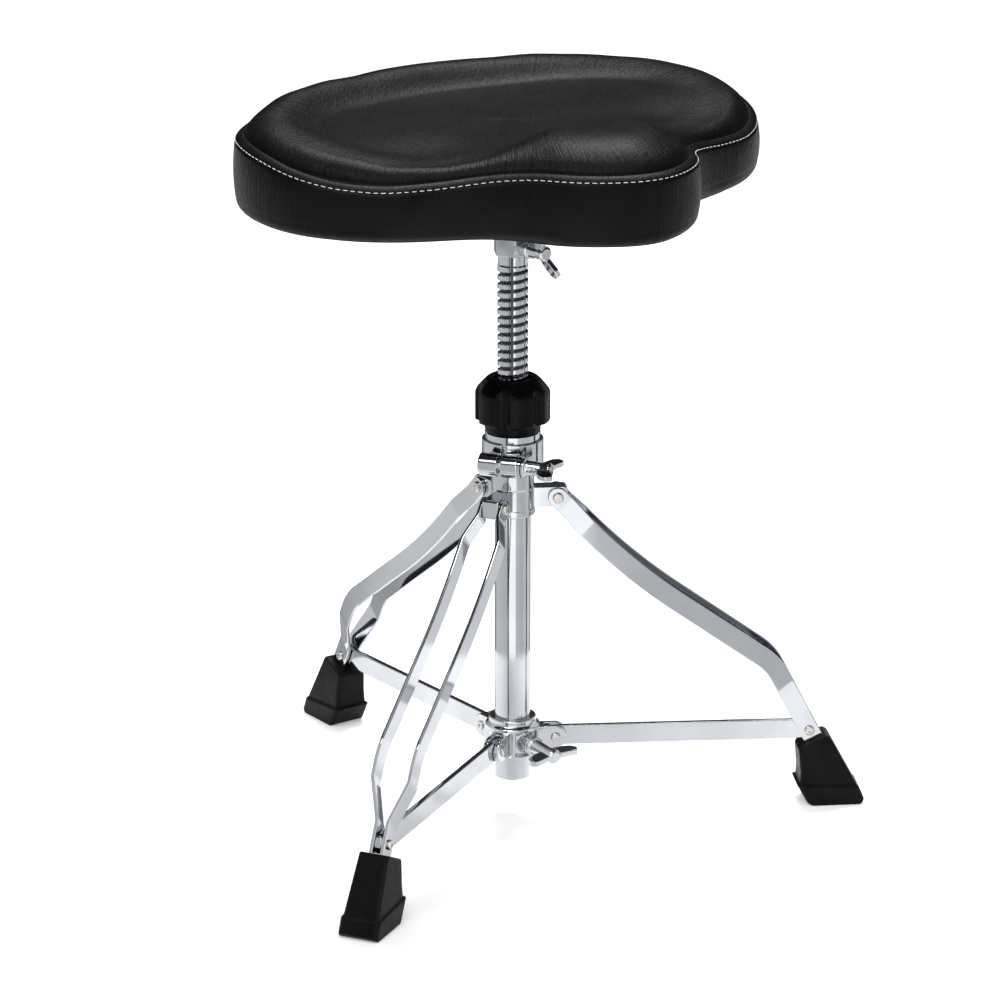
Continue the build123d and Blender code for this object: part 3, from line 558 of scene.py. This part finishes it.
def segmentDistance(points, start, end):
    # distance from each point to its own segment
    line = end - start
    share = ((points - start) * line).sum(-1) / (line ** 2).sum(-1)
    foot = start + np.clip(share, 0, 1)[:, None] * line
    return np.linalg.norm(points - foot, axis=1)


stitchValues = {
    "pitch": 6.0,
    "length": 5.3,
    "threadRadius": 0.30,
    "rings": 6,
    "sides": 6,
}


def makeStitches(curve, length):
    # each stitch is a short sausage along the seam: radius falls to nothing at both ends
    v = stitchValues
    total = length[-1]
    count = int(total / v["pitch"])
    random = np.random.default_rng(2)
    middle = (np.arange(count) + 0.5) * total / count
    size = v["length"] * random.uniform(0.92, 1.06, count)
    lean = random.normal(0, 0.10, count)
    share = np.linspace(-1, 1, v["rings"] + 2)[1:-1]
    turn = np.arange(v["sides"]) * 2 * math.pi / v["sides"]
    profile = np.sqrt(1 - np.abs(share) ** 3)
    where = (middle[:, None] + share[None, :] * size[:, None] / 2)
    flat, outward = outlineAt(curve, length, where.ravel())
    height = fromTable("seamHeight", fromHorn(flat[:, 0], flat[:, 1]))
    height = height + (lean[:, None] * share[None, :]).ravel() * 1.2
    dip = (np.abs(share)[None, :] ** 4 * 0.35 + np.zeros((count, 1))).ravel()
    line = np.concatenate([flat + outward * (-0.55 - dip)[:, None], height[:, None]], 1)
    radius = np.tile(profile * v["threadRadius"], count)
    side = np.concatenate([outward, np.zeros((len(outward), 1))], 1)
    up = np.array([0, 0, 1.0])
    points = (line[:, None, :] + radius[:, None, None]
              * (side[:, None, :] * np.cos(turn)[None, :, None] + up * np.sin(turn)[None, :, None]))
    perStitch = v["rings"] * v["sides"]
    body = gridFaces(v["rings"], v["sides"])
    firstCap = np.arange(v["sides"])[None, :]
    lastCap = (perStitch - 1 - np.arange(v["sides"]))[None, :]
    shift = (np.arange(count) * perStitch)[:, None, None]
    quads = (body[None] + shift).reshape(-1, 4)[:, ::-1]
    caps = np.concatenate([(firstCap[None] + shift).reshape(-1, v["sides"]),
                           (lastCap[None] + shift).reshape(-1, v["sides"])])
    newPiece("seatStitches", onRod(points.reshape(-1, 3)) / 1000, [quads, caps],
             materials["seamThread"], "seat")


seatCurve, seatLength = makeSeat()
makeStitches(seatCurve, seatLength)
print("seat made")


# Height screw: the radius is a function of the angle and the height, with the groove winding up

screwValues = {
    "bottom": 195.0, "top": 521.0,
    "threadBottom": 252.0, "threadTop": 478.0,
    "pitch": 25.4 / 3.5, "crestWidth": 3.7,
    "crest": 12.7, "root": 10.6, "plain": 12.05,
    "keywayAzimuth": -129.0, "keywayHalf": 1.15, "keywayFloor": 9.0,
}


def smoothStep(value, low, high):
    share = np.clip((value - low) / (high - low), 0, 1)
    return share * share * (3 - 2 * share)


def makeScrew():
    # radius is the crest less a smooth step of the turn's phase, and a flat floor in the keyway
    v = screwValues
    keyHalf = math.asin(v["keywayHalf"] / v["crest"])
    plainAngles = np.linspace(keyHalf * 1.25, 2 * math.pi - keyHalf * 1.25, 100)
    keyAngles = np.array([-1.03, -0.97, -0.6, 0.0, 0.6, 0.97, 1.03]) * keyHalf
    turn = np.concatenate([keyAngles, plainAngles])
    threadRows = np.linspace(v["threadBottom"], v["threadTop"], 520)
    low = np.array([v["bottom"], v["bottom"] + 0.6, v["bottom"] + 1.2, v["threadBottom"] - 1])
    high = np.array([v["threadTop"] + 0.8, v["threadTop"] + 1.6, v["top"] - 1.0, v["top"] - 0.3, v["top"]])
    height = np.concatenate([low, threadRows, high])
    start = math.radians(v["keywayAzimuth"])
    phase = (height[:, None] / v["pitch"] - (turn[None, :] + start) / (2 * math.pi)) % 1
    groove = (1 - v["crestWidth"] / v["pitch"]) / 2
    fromMiddle = np.abs(phase - 0.5)                       # 0 in the middle of the groove
    depth = 1 - smoothStep(fromMiddle, groove * 0.42, groove)
    ends = (smoothStep(height, v["threadBottom"], v["threadBottom"] + 5)
            * (1 - smoothStep(height, v["threadTop"] - 5, v["threadTop"])))
    radius = v["crest"] - (v["crest"] - v["root"]) * depth * ends[:, None]
    crownAbove = smoothStep(height, v["threadTop"] - 0.2, v["threadTop"] + 0.9)[:, None]
    radius = radius * (1 - crownAbove) + v["plain"] * crownAbove
    endCut = np.maximum(np.clip(v["bottom"] + 1.2 - height, 0, 2), np.clip(height - v["top"] + 1.0, 0, 2))
    radius = radius - endCut[:, None]
    inKey = np.abs(np.arctan2(np.sin(turn), np.cos(turn))) < keyHalf
    floor = v["keywayFloor"] / np.cos(np.where(inKey, turn, 0.0))
    radius = np.where(inKey[None, :], np.minimum(radius, floor[None, :]), radius)
    azimuth = turn + start
    points = np.stack([radius * np.cos(azimuth), radius * np.sin(azimuth),
                       np.broadcast_to(height[:, None], radius.shape)], -1).reshape(-1, 3)
    points = np.vstack([points, [[0, 0, v["bottom"]], [0, 0, v["top"]]]]) / 1000
    quads = gridFaces(len(height), len(turn))
    lowPole = poleFaces(0, len(turn), len(points) - 2, False)
    highPole = poleFaces((len(height) - 1) * len(turn), len(turn), len(points) - 1, True)
    screw = newPiece("heightScrew", points, [quads, lowPole, highPole], materials["grooveShadedScrew"],
                     "rod")
    # painted shade: the groove depth, and the whole keyway at full strength, darken the screw's plate colour
    shade = depth * ends[:, None]
    shade = np.where(inKey[None, :], 1.0, shade).reshape(-1)
    addNumbers(screw, "paintedGrooveShade", np.concatenate([shade, [0, 0]]))
    screw.data.set_sharp_from_angle(angle=math.radians(50))
    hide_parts("height_rod")


makeScrew()


# Height nut: a turned profile whose radius is cut back by six round flutes

nutValues = {
    "bottom": 337.4,
    "profile": [(14.3, 3.1), (14.3, 0.3), (14.8, 0.0), (21.6, 0.0), (22.6, 0.3), (23.0, 1.2), (23.2, 4.0),
                (23.6, 6.2), (25.4, 6.6), (26.2, 7.4), (26.4, 8.6), (28.6, 8.8), (30.3, 9.1), (30.9, 9.8),
                (31.0, 11.0), (31.0, 20.0), (31.0, 32.0), (30.8, 33.6), (30.0, 35.3), (28.6, 37.2),
                (26.4, 39.8), (24.0, 42.4), (22.4, 44.0), (21.2, 45.1), (19.8, 45.8), (18.4, 46.0),
                (17.4, 45.8), (16.8, 45.2), (16.5, 44.2), (16.5, 40.9), (16.5, 3.1)],
    "fluteRadius": 7.0, "fluteCentre": 34.3, "lobes": 6, "lobeAzimuth": -111.0,
    "blend": 0.7,
}


def resample(profile, spacing):
    # extra points on the long runs of a profile, so that shading stays even
    profile = np.array(profile, float)
    made = [profile[:1]]
    for start, end in zip(profile[:-1], profile[1:]):
        pieces = max(1, int(np.linalg.norm(end - start) / spacing))
        share = np.linspace(0, 1, pieces + 1)[1:, None]
        made.append(start + (end - start) * share)
    return np.vstack(made)


def makeNut():
    # radius is a soft minimum of the turned profile and the near side of each flute's circle
    v = nutValues
    profile = resample(v["profile"], 1.6)
    turn = np.linspace(0, 2 * math.pi, 432, endpoint=False)
    sector = 2 * math.pi / v["lobes"]
    offset = (turn - math.radians(v["lobeAzimuth"])) % sector - sector / 2
    sideways = v["fluteCentre"] * np.sin(offset)
    inside = np.clip(v["fluteRadius"] ** 2 - sideways ** 2, 0, None)
    flute = v["fluteCentre"] * np.cos(offset) - np.sqrt(inside)
    beyond = np.clip((np.abs(sideways) - v["fluteRadius"]) * 2.5, 0, 12)
    flute = flute + beyond
    k = v["blend"]
    radius = -k * np.log(np.exp(-profile[:, :1] / k) + np.exp(-flute[None, :] / k))
    radius = np.minimum(radius, profile[:, :1])
    height = np.broadcast_to(profile[:, 1:] + v["bottom"], radius.shape)
    points = np.stack([radius * np.cos(turn), radius * np.sin(turn), height], -1).reshape(-1, 3) / 1000
    quads = gridFaces(len(profile), len(turn), aroundRows=True)
    nut = newPiece("heightNut", points, [quads], materials["nutPlastic"], "nut")
    nut.data.set_sharp_from_angle(angle=math.radians(42))
    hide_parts("height_nut")


makeNut()
print("height screw and nut made")


# Flat bars of the legs and stays: a rounded strip along a path, with the section carried round it

barValues = {
    "azimuths": (90.0, -30.0, -150.0),
    "hubPivot": (36.8, 280.2), "footPivot": (252.2, 65.0), "collarPivot": (35.8, 67.3),
    "slopes": (47.0, 35.5, 62.5),               # degrees below the horizontal: top, middle and foot
    "firstRun": 34.0, "slowArc": 520.0, "kneeArc": 48.0, "pastPivot": 30.0,
    "legWidth": 16.5, "legThickness": 3.0, "stayWidth": 17.0, "stayThickness": 5.0,
    "hubSide": 7.3, "wideSide": 14.5, "footSide": 3.4,
    "edge": 0.55, "bendSoftness": 2.4,
}


def legLine():
    # slope as a function of the distance along the bar, added up into points
    v = barValues
    top, middle, low = (math.radians(slope) for slope in v["slopes"])
    hub, foot = np.array(v["hubPivot"]), np.array(v["footPivot"])

    def walk(start, slope, distance):
        return start + distance * np.array([math.cos(slope), -math.sin(slope)])

    first = walk(hub, top, v["firstRun"])
    second = walk(first, (top + middle) / 2, 2 * v["slowArc"] * math.sin((top - middle) / 2))
    gap = foot - second
    toCorner = (gap[0] * math.sin(low) + gap[1] * math.cos(low)) / math.sin(low - middle)
    trim = v["kneeArc"] * math.tan((low - middle) / 2)
    lengths = np.cumsum([0, v["firstRun"], v["slowArc"] * (top - middle), toCorner - trim,
                         v["kneeArc"] * (low - middle)])
    corner = walk(second, middle, toCorner)
    total = lengths[-1] + np.linalg.norm(foot - corner) - trim + v["pastPivot"]
    along = np.linspace(0, total, 260)
    slope = np.interp(along, np.append(lengths, total), [top, top, middle, middle, low, low])
    step = np.diff(along)[:, None]
    half = (slope[1:] + slope[:-1]) / 2
    moves = step * np.stack([np.cos(half), -np.sin(half)], -1)
    return hub + np.vstack([[0, 0], np.cumsum(moves, 0)])


def legSide(points):
    # how far the inner face stands out from the leg's middle, from the distance down the chord
    v = barValues
    hub, foot = np.array(v["hubPivot"]), np.array(v["footPivot"])
    span = np.linalg.norm(foot - hub)
    down = (points - hub) @ (foot - hub) / span
    fine = np.arange(-30, span + 60, 0.25)
    exact = np.interp(fine, [11, 33, span - 46, span - 14],
                      [v["hubSide"], v["wideSide"], v["wideSide"], v["footSide"]])
    window = np.hanning(int(v["bendSoftness"] / 0.25) * 2 + 3)
    soft = np.convolve(np.pad(exact, 40, "edge"), window / window.sum(), "same")[40:-40]
    return np.interp(down, fine, soft)


def makeBar(name, line, width, thickness, innerSide, side, azimuth, body, oldNode):
    # the strip's outline is offset from its line by each step of a rounded section
    # line: points as radius and height; side: +1 or -1; innerSide: a function of those points
    tangent = np.gradient(line, axis=0)
    tangent /= np.linalg.norm(tangent, axis=1)[:, None]
    normal = np.stack([-tangent[:, 1], tangent[:, 0]], -1)
    swing = np.linspace(0, math.pi, 15)[1:-1, None]
    endTurn = normal[-1] * np.cos(swing) + tangent[-1] * np.sin(swing)
    startTurn = -normal[0] * np.cos(swing) - tangent[0] * np.sin(swing)
    base = np.vstack([line, np.repeat(line[-1:], 13, 0), line[::-1], np.repeat(line[:1], 13, 0)])
    away = np.vstack([normal, endTurn, -normal[::-1], startTurn])
    e = barValues["edge"]
    r = width / 2
    arc = np.linspace(0, math.pi / 2, 4)
    section = [(0, 0), (r * 0.5, 0), (r - e - 0.5, 0)]
    section += [(r - e + e * math.sin(a), e - e * math.cos(a)) for a in arc]
    section += [(r, thickness / 2)]
    section += [(r - e + e * math.cos(a), thickness - e + e * math.sin(a)) for a in arc]
    section += [(r - e - 0.5, thickness), (r * 0.5, thickness), (0, thickness)]
    section = np.array(section)
    flat = base[None, :, :] + section[:, 0][:, None, None] * away[None, :, :]
    sideways = side * (innerSide(flat.reshape(-1, 2)).reshape(flat.shape[:2]) + section[:, 1][:, None])
    a = math.radians(azimuth)
    points = np.stack([flat[..., 0] * math.cos(a) + sideways * math.sin(a),
                       flat[..., 0] * math.sin(a) - sideways * math.cos(a), flat[..., 1]], -1)
    bar = newPiece(name, points.reshape(-1, 3) / 1000, [gridFaces(len(section), len(base))],
                   materials["chromePlate"], body)
    work = bmesh.new()
    work.from_mesh(bar.data)
    bmesh.ops.remove_doubles(work, verts=work.verts, dist=0.00001)
    bmesh.ops.recalc_face_normals(work, faces=work.faces)
    work.to_mesh(bar.data)
    work.free()
    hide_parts(oldNode)


def makeBars():
    v = barValues
    leg = legLine()
    share = np.linspace(0, 1, 40)[:, None]
    stay = np.array(v["collarPivot"]) * (1 - share) + np.array(v["footPivot"]) * share
    for number, azimuth in enumerate(v["azimuths"], start=1):
        for side, word in ((-1, "left"), (1, "right")):
            makeBar(f"legBar_{word}_{number}", leg, v["legWidth"], v["legThickness"], legSide, side,
                    azimuth, f"leg_{number}", f"leg_{number}_bar_{word}")
        makeBar(f"stayBar_{number}", stay, v["stayWidth"], v["stayThickness"],
                lambda points: np.full(len(points), -v["stayThickness"] / 2), 1, azimuth,
                f"stay_{number}_arm", f"stay_{number}")


makeBars()
print("bars made")


# Carried-over nodes: each gets its finish, and the castings and feet are softened

nodeFinish = {
    "base_tube": "chromePlate", "upper_socket": "chromePlate", "height_clamp": "chromeCasting",
    "clamp_bolt": "zincSteel", "clamp_washer": "chromePlate", "clamp_wing_nut": "chromeCasting",
    "leg_hub": "chromeCasting", "hub_pins": "zincSteel", "pivot_bushings": "bushPlastic",
    "stay_collar": "chromeCasting", "stay_rivets": "rivetSteel", "collar_wing_bolt": "chromeCasting",
    "seat_bracket": "greyCasting", "bracket_screws": "zincSteel", "tee_nuts": "zincSteel",
    "seat_wing_bolt": "chromeCasting", "seat_board": "birchPlywood", "dust_cover": "dustFabric",
    "nut_insert": "zincSteel", "guide_bush": "nutPlastic", "anti_turn_key": "zincSteel",
}
for number in (1, 2, 3):
    nodeFinish[f"leg_{number}_rivet"] = "rivetSteel"
    nodeFinish[f"leg_{number}_foot"] = "footRubber"
    nodeFinish[f"foot_rivet_{number}"] = "rivetSteel"
    nodeFinish[f"stay_washers_{number}"] = "zincSteel"

for name, finish in nodeFinish.items():
    cadNodes[name].data.materials.clear()
    cadNodes[name].data.materials.append(materials[finish])

castings = {
    # node: voxel size and number of smoothing rounds
    "clamp_wing_nut": (0.5, 5), "collar_wing_bolt": (0.5, 5), "seat_wing_bolt": (0.5, 5),
    "height_clamp": (0.55, 3), "leg_hub": (0.6, 3), "stay_collar": (0.6, 3),
    "seat_bracket": (0.9, 2),
    "leg_1_foot": (0.8, 4), "leg_2_foot": (0.8, 4), "leg_3_foot": (0.8, 4),
}


def soften(name, voxel, rounds):
    # the casting's skin is rebuilt on a fine lattice and relaxed, which rounds every edge
    item = cadNodes[name]
    weld = item.modifiers.new("join", "WELD")
    weld.merge_threshold = 0.00001
    remesh = item.modifiers.new("skin", "REMESH")
    remesh.mode = "VOXEL"
    remesh.voxel_size = voxel / 1000
    remesh.use_smooth_shade = True
    relax = item.modifiers.new("relax", "SMOOTH")
    relax.factor = 0.5
    relax.iterations = rounds


for name, (voxel, rounds) in castings.items():
    soften(name, voxel, rounds)
print("nodes finished")


# Studio: pale floor that curves up behind, soft lights, and a camera

studio = {
    "cameraPlace": (-1.9862, -2.7512, 1.3866),
    "cameraAim": (-0.0085, 0.0061, 0.2762),
    "lens": 155.28,
    "viewAzimuth": -35.65,
    "floorTone": (0.93, 0.93, 0.93),
    "skyStrength": 0.58,
    "floorGlow": 0.30,
}


def fromView(right, back, up):
    # a point given as seen from the camera's side: to its right, towards it, and up
    a = math.radians(studio["viewAzimuth"])
    rightWay = Vector((math.cos(a), math.sin(a), 0))
    backWay = Vector((math.sin(a), -math.cos(a), 0))
    return rightWay * right + backWay * back + Vector((0, 0, up))


def makeFloor():
    # a flat sheet along the view that turns up in a quarter circle behind the object
    bend = 1.6
    run = np.linspace(-7.0, 3.0, 12)
    curl = np.linspace(0, math.pi / 2, 16)[1:]
    depth = np.concatenate([run, 3.0 + bend * np.sin(curl), [3.0 + bend]])
    rise = np.concatenate([0 * run, bend * (1 - np.cos(curl)), [5.0]])
    across = np.linspace(-7, 7, 8)
    a = math.radians(studio["viewAzimuth"])
    x = across[None, :] * math.cos(a) - depth[:, None] * math.sin(a)
    y = across[None, :] * math.sin(a) + depth[:, None] * math.cos(a)
    z = np.broadcast_to(rise[:, None], x.shape) - 0.0002
    points = np.stack([x, y, z], -1).reshape(-1, 3)
    quads = openFaces(len(depth), len(across))
    material, tree, shader, place = startMaterial("studioFloor", 0.0, 0.2)
    tone = twoTones(tree, noiseOn(tree, place, 3), studio["floorTone"], studio["floorTone"])
    tree.links.new(tone, shader.inputs["Base Color"])
    shader.inputs["Roughness"].default_value = 0.9
    shader.inputs["Emission Color"].default_value = (1, 1, 1, 1)
    shader.inputs["Emission Strength"].default_value = studio["floorGlow"]
    mesh = bpy.data.meshes.new("floor")
    mesh.from_pydata(points.tolist(), [], quads.tolist())
    mesh.polygons.foreach_set("use_smooth", np.ones(len(quads), bool))
    mesh.materials.append(material)
    floor = bpy.data.objects.new("floor", mesh)
    bpy.context.scene.collection.objects.link(floor)


def softLight(name, place, aim, width, height, power):
    light = bpy.data.lights.new(name, "AREA")
    light.shape = "RECTANGLE"
    light.size = width
    light.size_y = height
    light.energy = power
    item = bpy.data.objects.new(name, light)
    item.location = place
    item.rotation_euler = (Vector(aim) - place).to_track_quat("-Z", "Y").to_euler()
    bpy.context.scene.collection.objects.link(item)
    return item


def makeSky():
    # even pale surroundings with two dark bands at the sides, for the plated parts to show
    world = bpy.data.worlds.new("studio")
    bpy.context.scene.world = world
    world.use_nodes = True
    tree = world.node_tree
    background = tree.nodes["Background"]
    coordinate = node(tree, "TexCoord").outputs["Generated"]
    turn = node(tree, "Mapping", vector_type="POINT")
    turn.inputs["Rotation"].default_value = (0, 0, math.radians(-studio["viewAzimuth"]))
    tree.links.new(coordinate, turn.inputs["Vector"])
    apart = node(tree, "SeparateXYZ")
    tree.links.new(turn.outputs["Vector"], apart.inputs["Vector"])
    ramp = node(tree, "ValToRGB")
    tones = [(0.0, 0.6), (0.12, 0.8), (0.15, 0.03), (0.24, 0.03), (0.28, 1.1), (0.38, 1.2),
             (0.41, 0.08), (0.44, 0.08), (0.47, 1.6), (0.60, 1.5), (0.64, 0.05), (0.71, 0.05),
             (0.75, 1.1), (0.84, 0.8), (0.87, 0.03), (0.94, 0.03), (1.0, 0.6)]
    elements = ramp.color_ramp.elements
    for position, tone in tones[1:-1]:
        elements.new(position)
    for element, (position, tone) in zip(elements, tones):
        element.position = position
        element.color = (tone, tone, tone * 1.01, 1)
    half = node(tree, "Math", operation="MULTIPLY_ADD")
    half.inputs[1].default_value = 0.5
    half.inputs[2].default_value = 0.5
    tree.links.new(apart.outputs["X"], half.inputs[0])
    tree.links.new(half.outputs["Value"], ramp.inputs["Fac"])
    tree.links.new(ramp.outputs["Color"], background.inputs["Color"])
    background.inputs["Strength"].default_value = studio["skyStrength"]


cardValues = {
    "radius": 0.40, "low": 0.0, "high": 0.50,
    # turn from the camera's side in degrees, to the right, then how bright
    "tones": [(-180, 0.05), (-152, 0.05), (-146, 0.55), (-128, 0.60), (-122, 1.0), (-40, 0.85), (-28, 0.75),
              (-26.5, 0.04), (-21, 0.04), (-19, 1.9), (17, 1.9), (22, 0.95), (60, 0.8), (93, 1.05),
              (96, 0.03), (104, 0.03), (107, 1.2), (140, 0.9), (148, 0.12), (180, 0.05)],
}


def upright(turn, height, radius):
    # points of a curved upright sheet round the column
    return np.stack([np.cos(turn)[None, :] * radius + 0 * height[:, None],
                     np.sin(turn)[None, :] * radius + 0 * height[:, None],
                     height[:, None] + 0 * turn[None, :]], -1).reshape(-1, 3)


def glowMaterial(name):
    material = bpy.data.materials.new(name)
    material.use_nodes = True
    tree = material.node_tree
    tree.nodes.remove(tree.nodes["Principled BSDF"])
    glow = node(tree, "Emission")
    tree.links.new(glow.outputs["Emission"], tree.nodes["Material Output"].inputs["Surface"])
    return material, tree, glow


def mirroredOnly(name, points, quads, material):
    # a studio sheet that shows in reflections and nowhere else
    mesh = bpy.data.meshes.new(name)
    mesh.from_pydata(points.tolist(), [], quads.tolist())
    mesh.materials.append(material)
    item = bpy.data.objects.new(name, mesh)
    bpy.context.scene.collection.objects.link(item)
    item.visible_camera = False
    item.visible_diffuse = False
    item.visible_shadow = False
    item.visible_transmission = False


def makeCards():
    # an open tube of light and dark cards that only mirror-like finishes see
    v = cardValues
    turn = np.linspace(0, 2 * math.pi, 96, endpoint=False)
    height = np.linspace(v["low"], v["high"], 4)
    material, tree, glow = glowMaterial("cards")
    place = node(tree, "TexCoord").outputs["Object"]
    spin = node(tree, "Mapping")
    # the camera's side ends up in the middle of the gradient
    spin.inputs["Rotation"].default_value = (0, 0, math.radians(90 - studio["viewAzimuth"]))
    tree.links.new(place, spin.inputs["Vector"])
    around = node(tree, "TexGradient", gradient_type="RADIAL")
    tree.links.new(spin.outputs["Vector"], around.inputs["Vector"])
    ramp = node(tree, "ValToRGB")
    elements = ramp.color_ramp.elements
    for tone in v["tones"][1:-1]:
        elements.new((tone[0] + 180) / 360)
    for element, (angle, tone) in zip(elements, v["tones"]):
        element.position = (angle + 180) / 360
        element.color = (tone * 0.985, tone * 0.995, tone, 1)
    tree.links.new(around.outputs["Color"], ramp.inputs["Fac"])
    tree.links.new(ramp.outputs["Color"], glow.inputs["Color"])
    faces = gridFaces(len(height), len(turn))
    mirroredOnly("cards", upright(turn, height, v["radius"]), faces, material)


flagValues = {"radius": 0.5, "low": 0.53, "high": 1.02, "halfTurn": 125, "tone": 0.02}


def makeFlag():
    # a dark curved sheet behind the seat, which keeps the pale surroundings out of its sheen
    v = flagValues
    backward = 90 + studio["viewAzimuth"]
    turn = np.radians(np.linspace(backward - v["halfTurn"], backward + v["halfTurn"], 60))
    height = np.linspace(v["low"], v["high"], 4)
    material, tree, glow = glowMaterial("flag")
    glow.inputs["Color"].default_value = (v["tone"], v["tone"], v["tone"], 1)
    faces = openFaces(len(height), len(turn))
    mirroredOnly("flag", upright(turn, height, v["radius"]), faces, material)


def makeCamera():
    data = bpy.data.cameras.new("camera")
    data.lens = studio["lens"]
    data.sensor_width = 36
    data.clip_end = 100
    item = bpy.data.objects.new("camera", data)
    place = Vector(studio["cameraPlace"])
    item.location = place
    item.rotation_euler = (Vector(studio["cameraAim"]) - place).to_track_quat("-Z", "Y").to_euler()
    bpy.context.scene.collection.objects.link(item)
    bpy.context.scene.camera = item


makeFloor()
makeCards()
makeFlag()
makeSky()
makeCamera()
middleOfSeat = (0, 0, 0.5)
softLight("keyLight", fromView(-0.7, 1.3, 2.5), middleOfSeat, 1.3, 1.1, 30)
softLight("backLight", fromView(0.25, -1.35, 3.0), middleOfSeat, 1.7, 1.0, 95)
softLight("sideLight", fromView(2.4, 0.8, 1.2), (0, 0, 0.3), 0.9, 1.8, 10)
bpy.context.scene.view_settings.view_transform = "Standard"
print("studio ready")
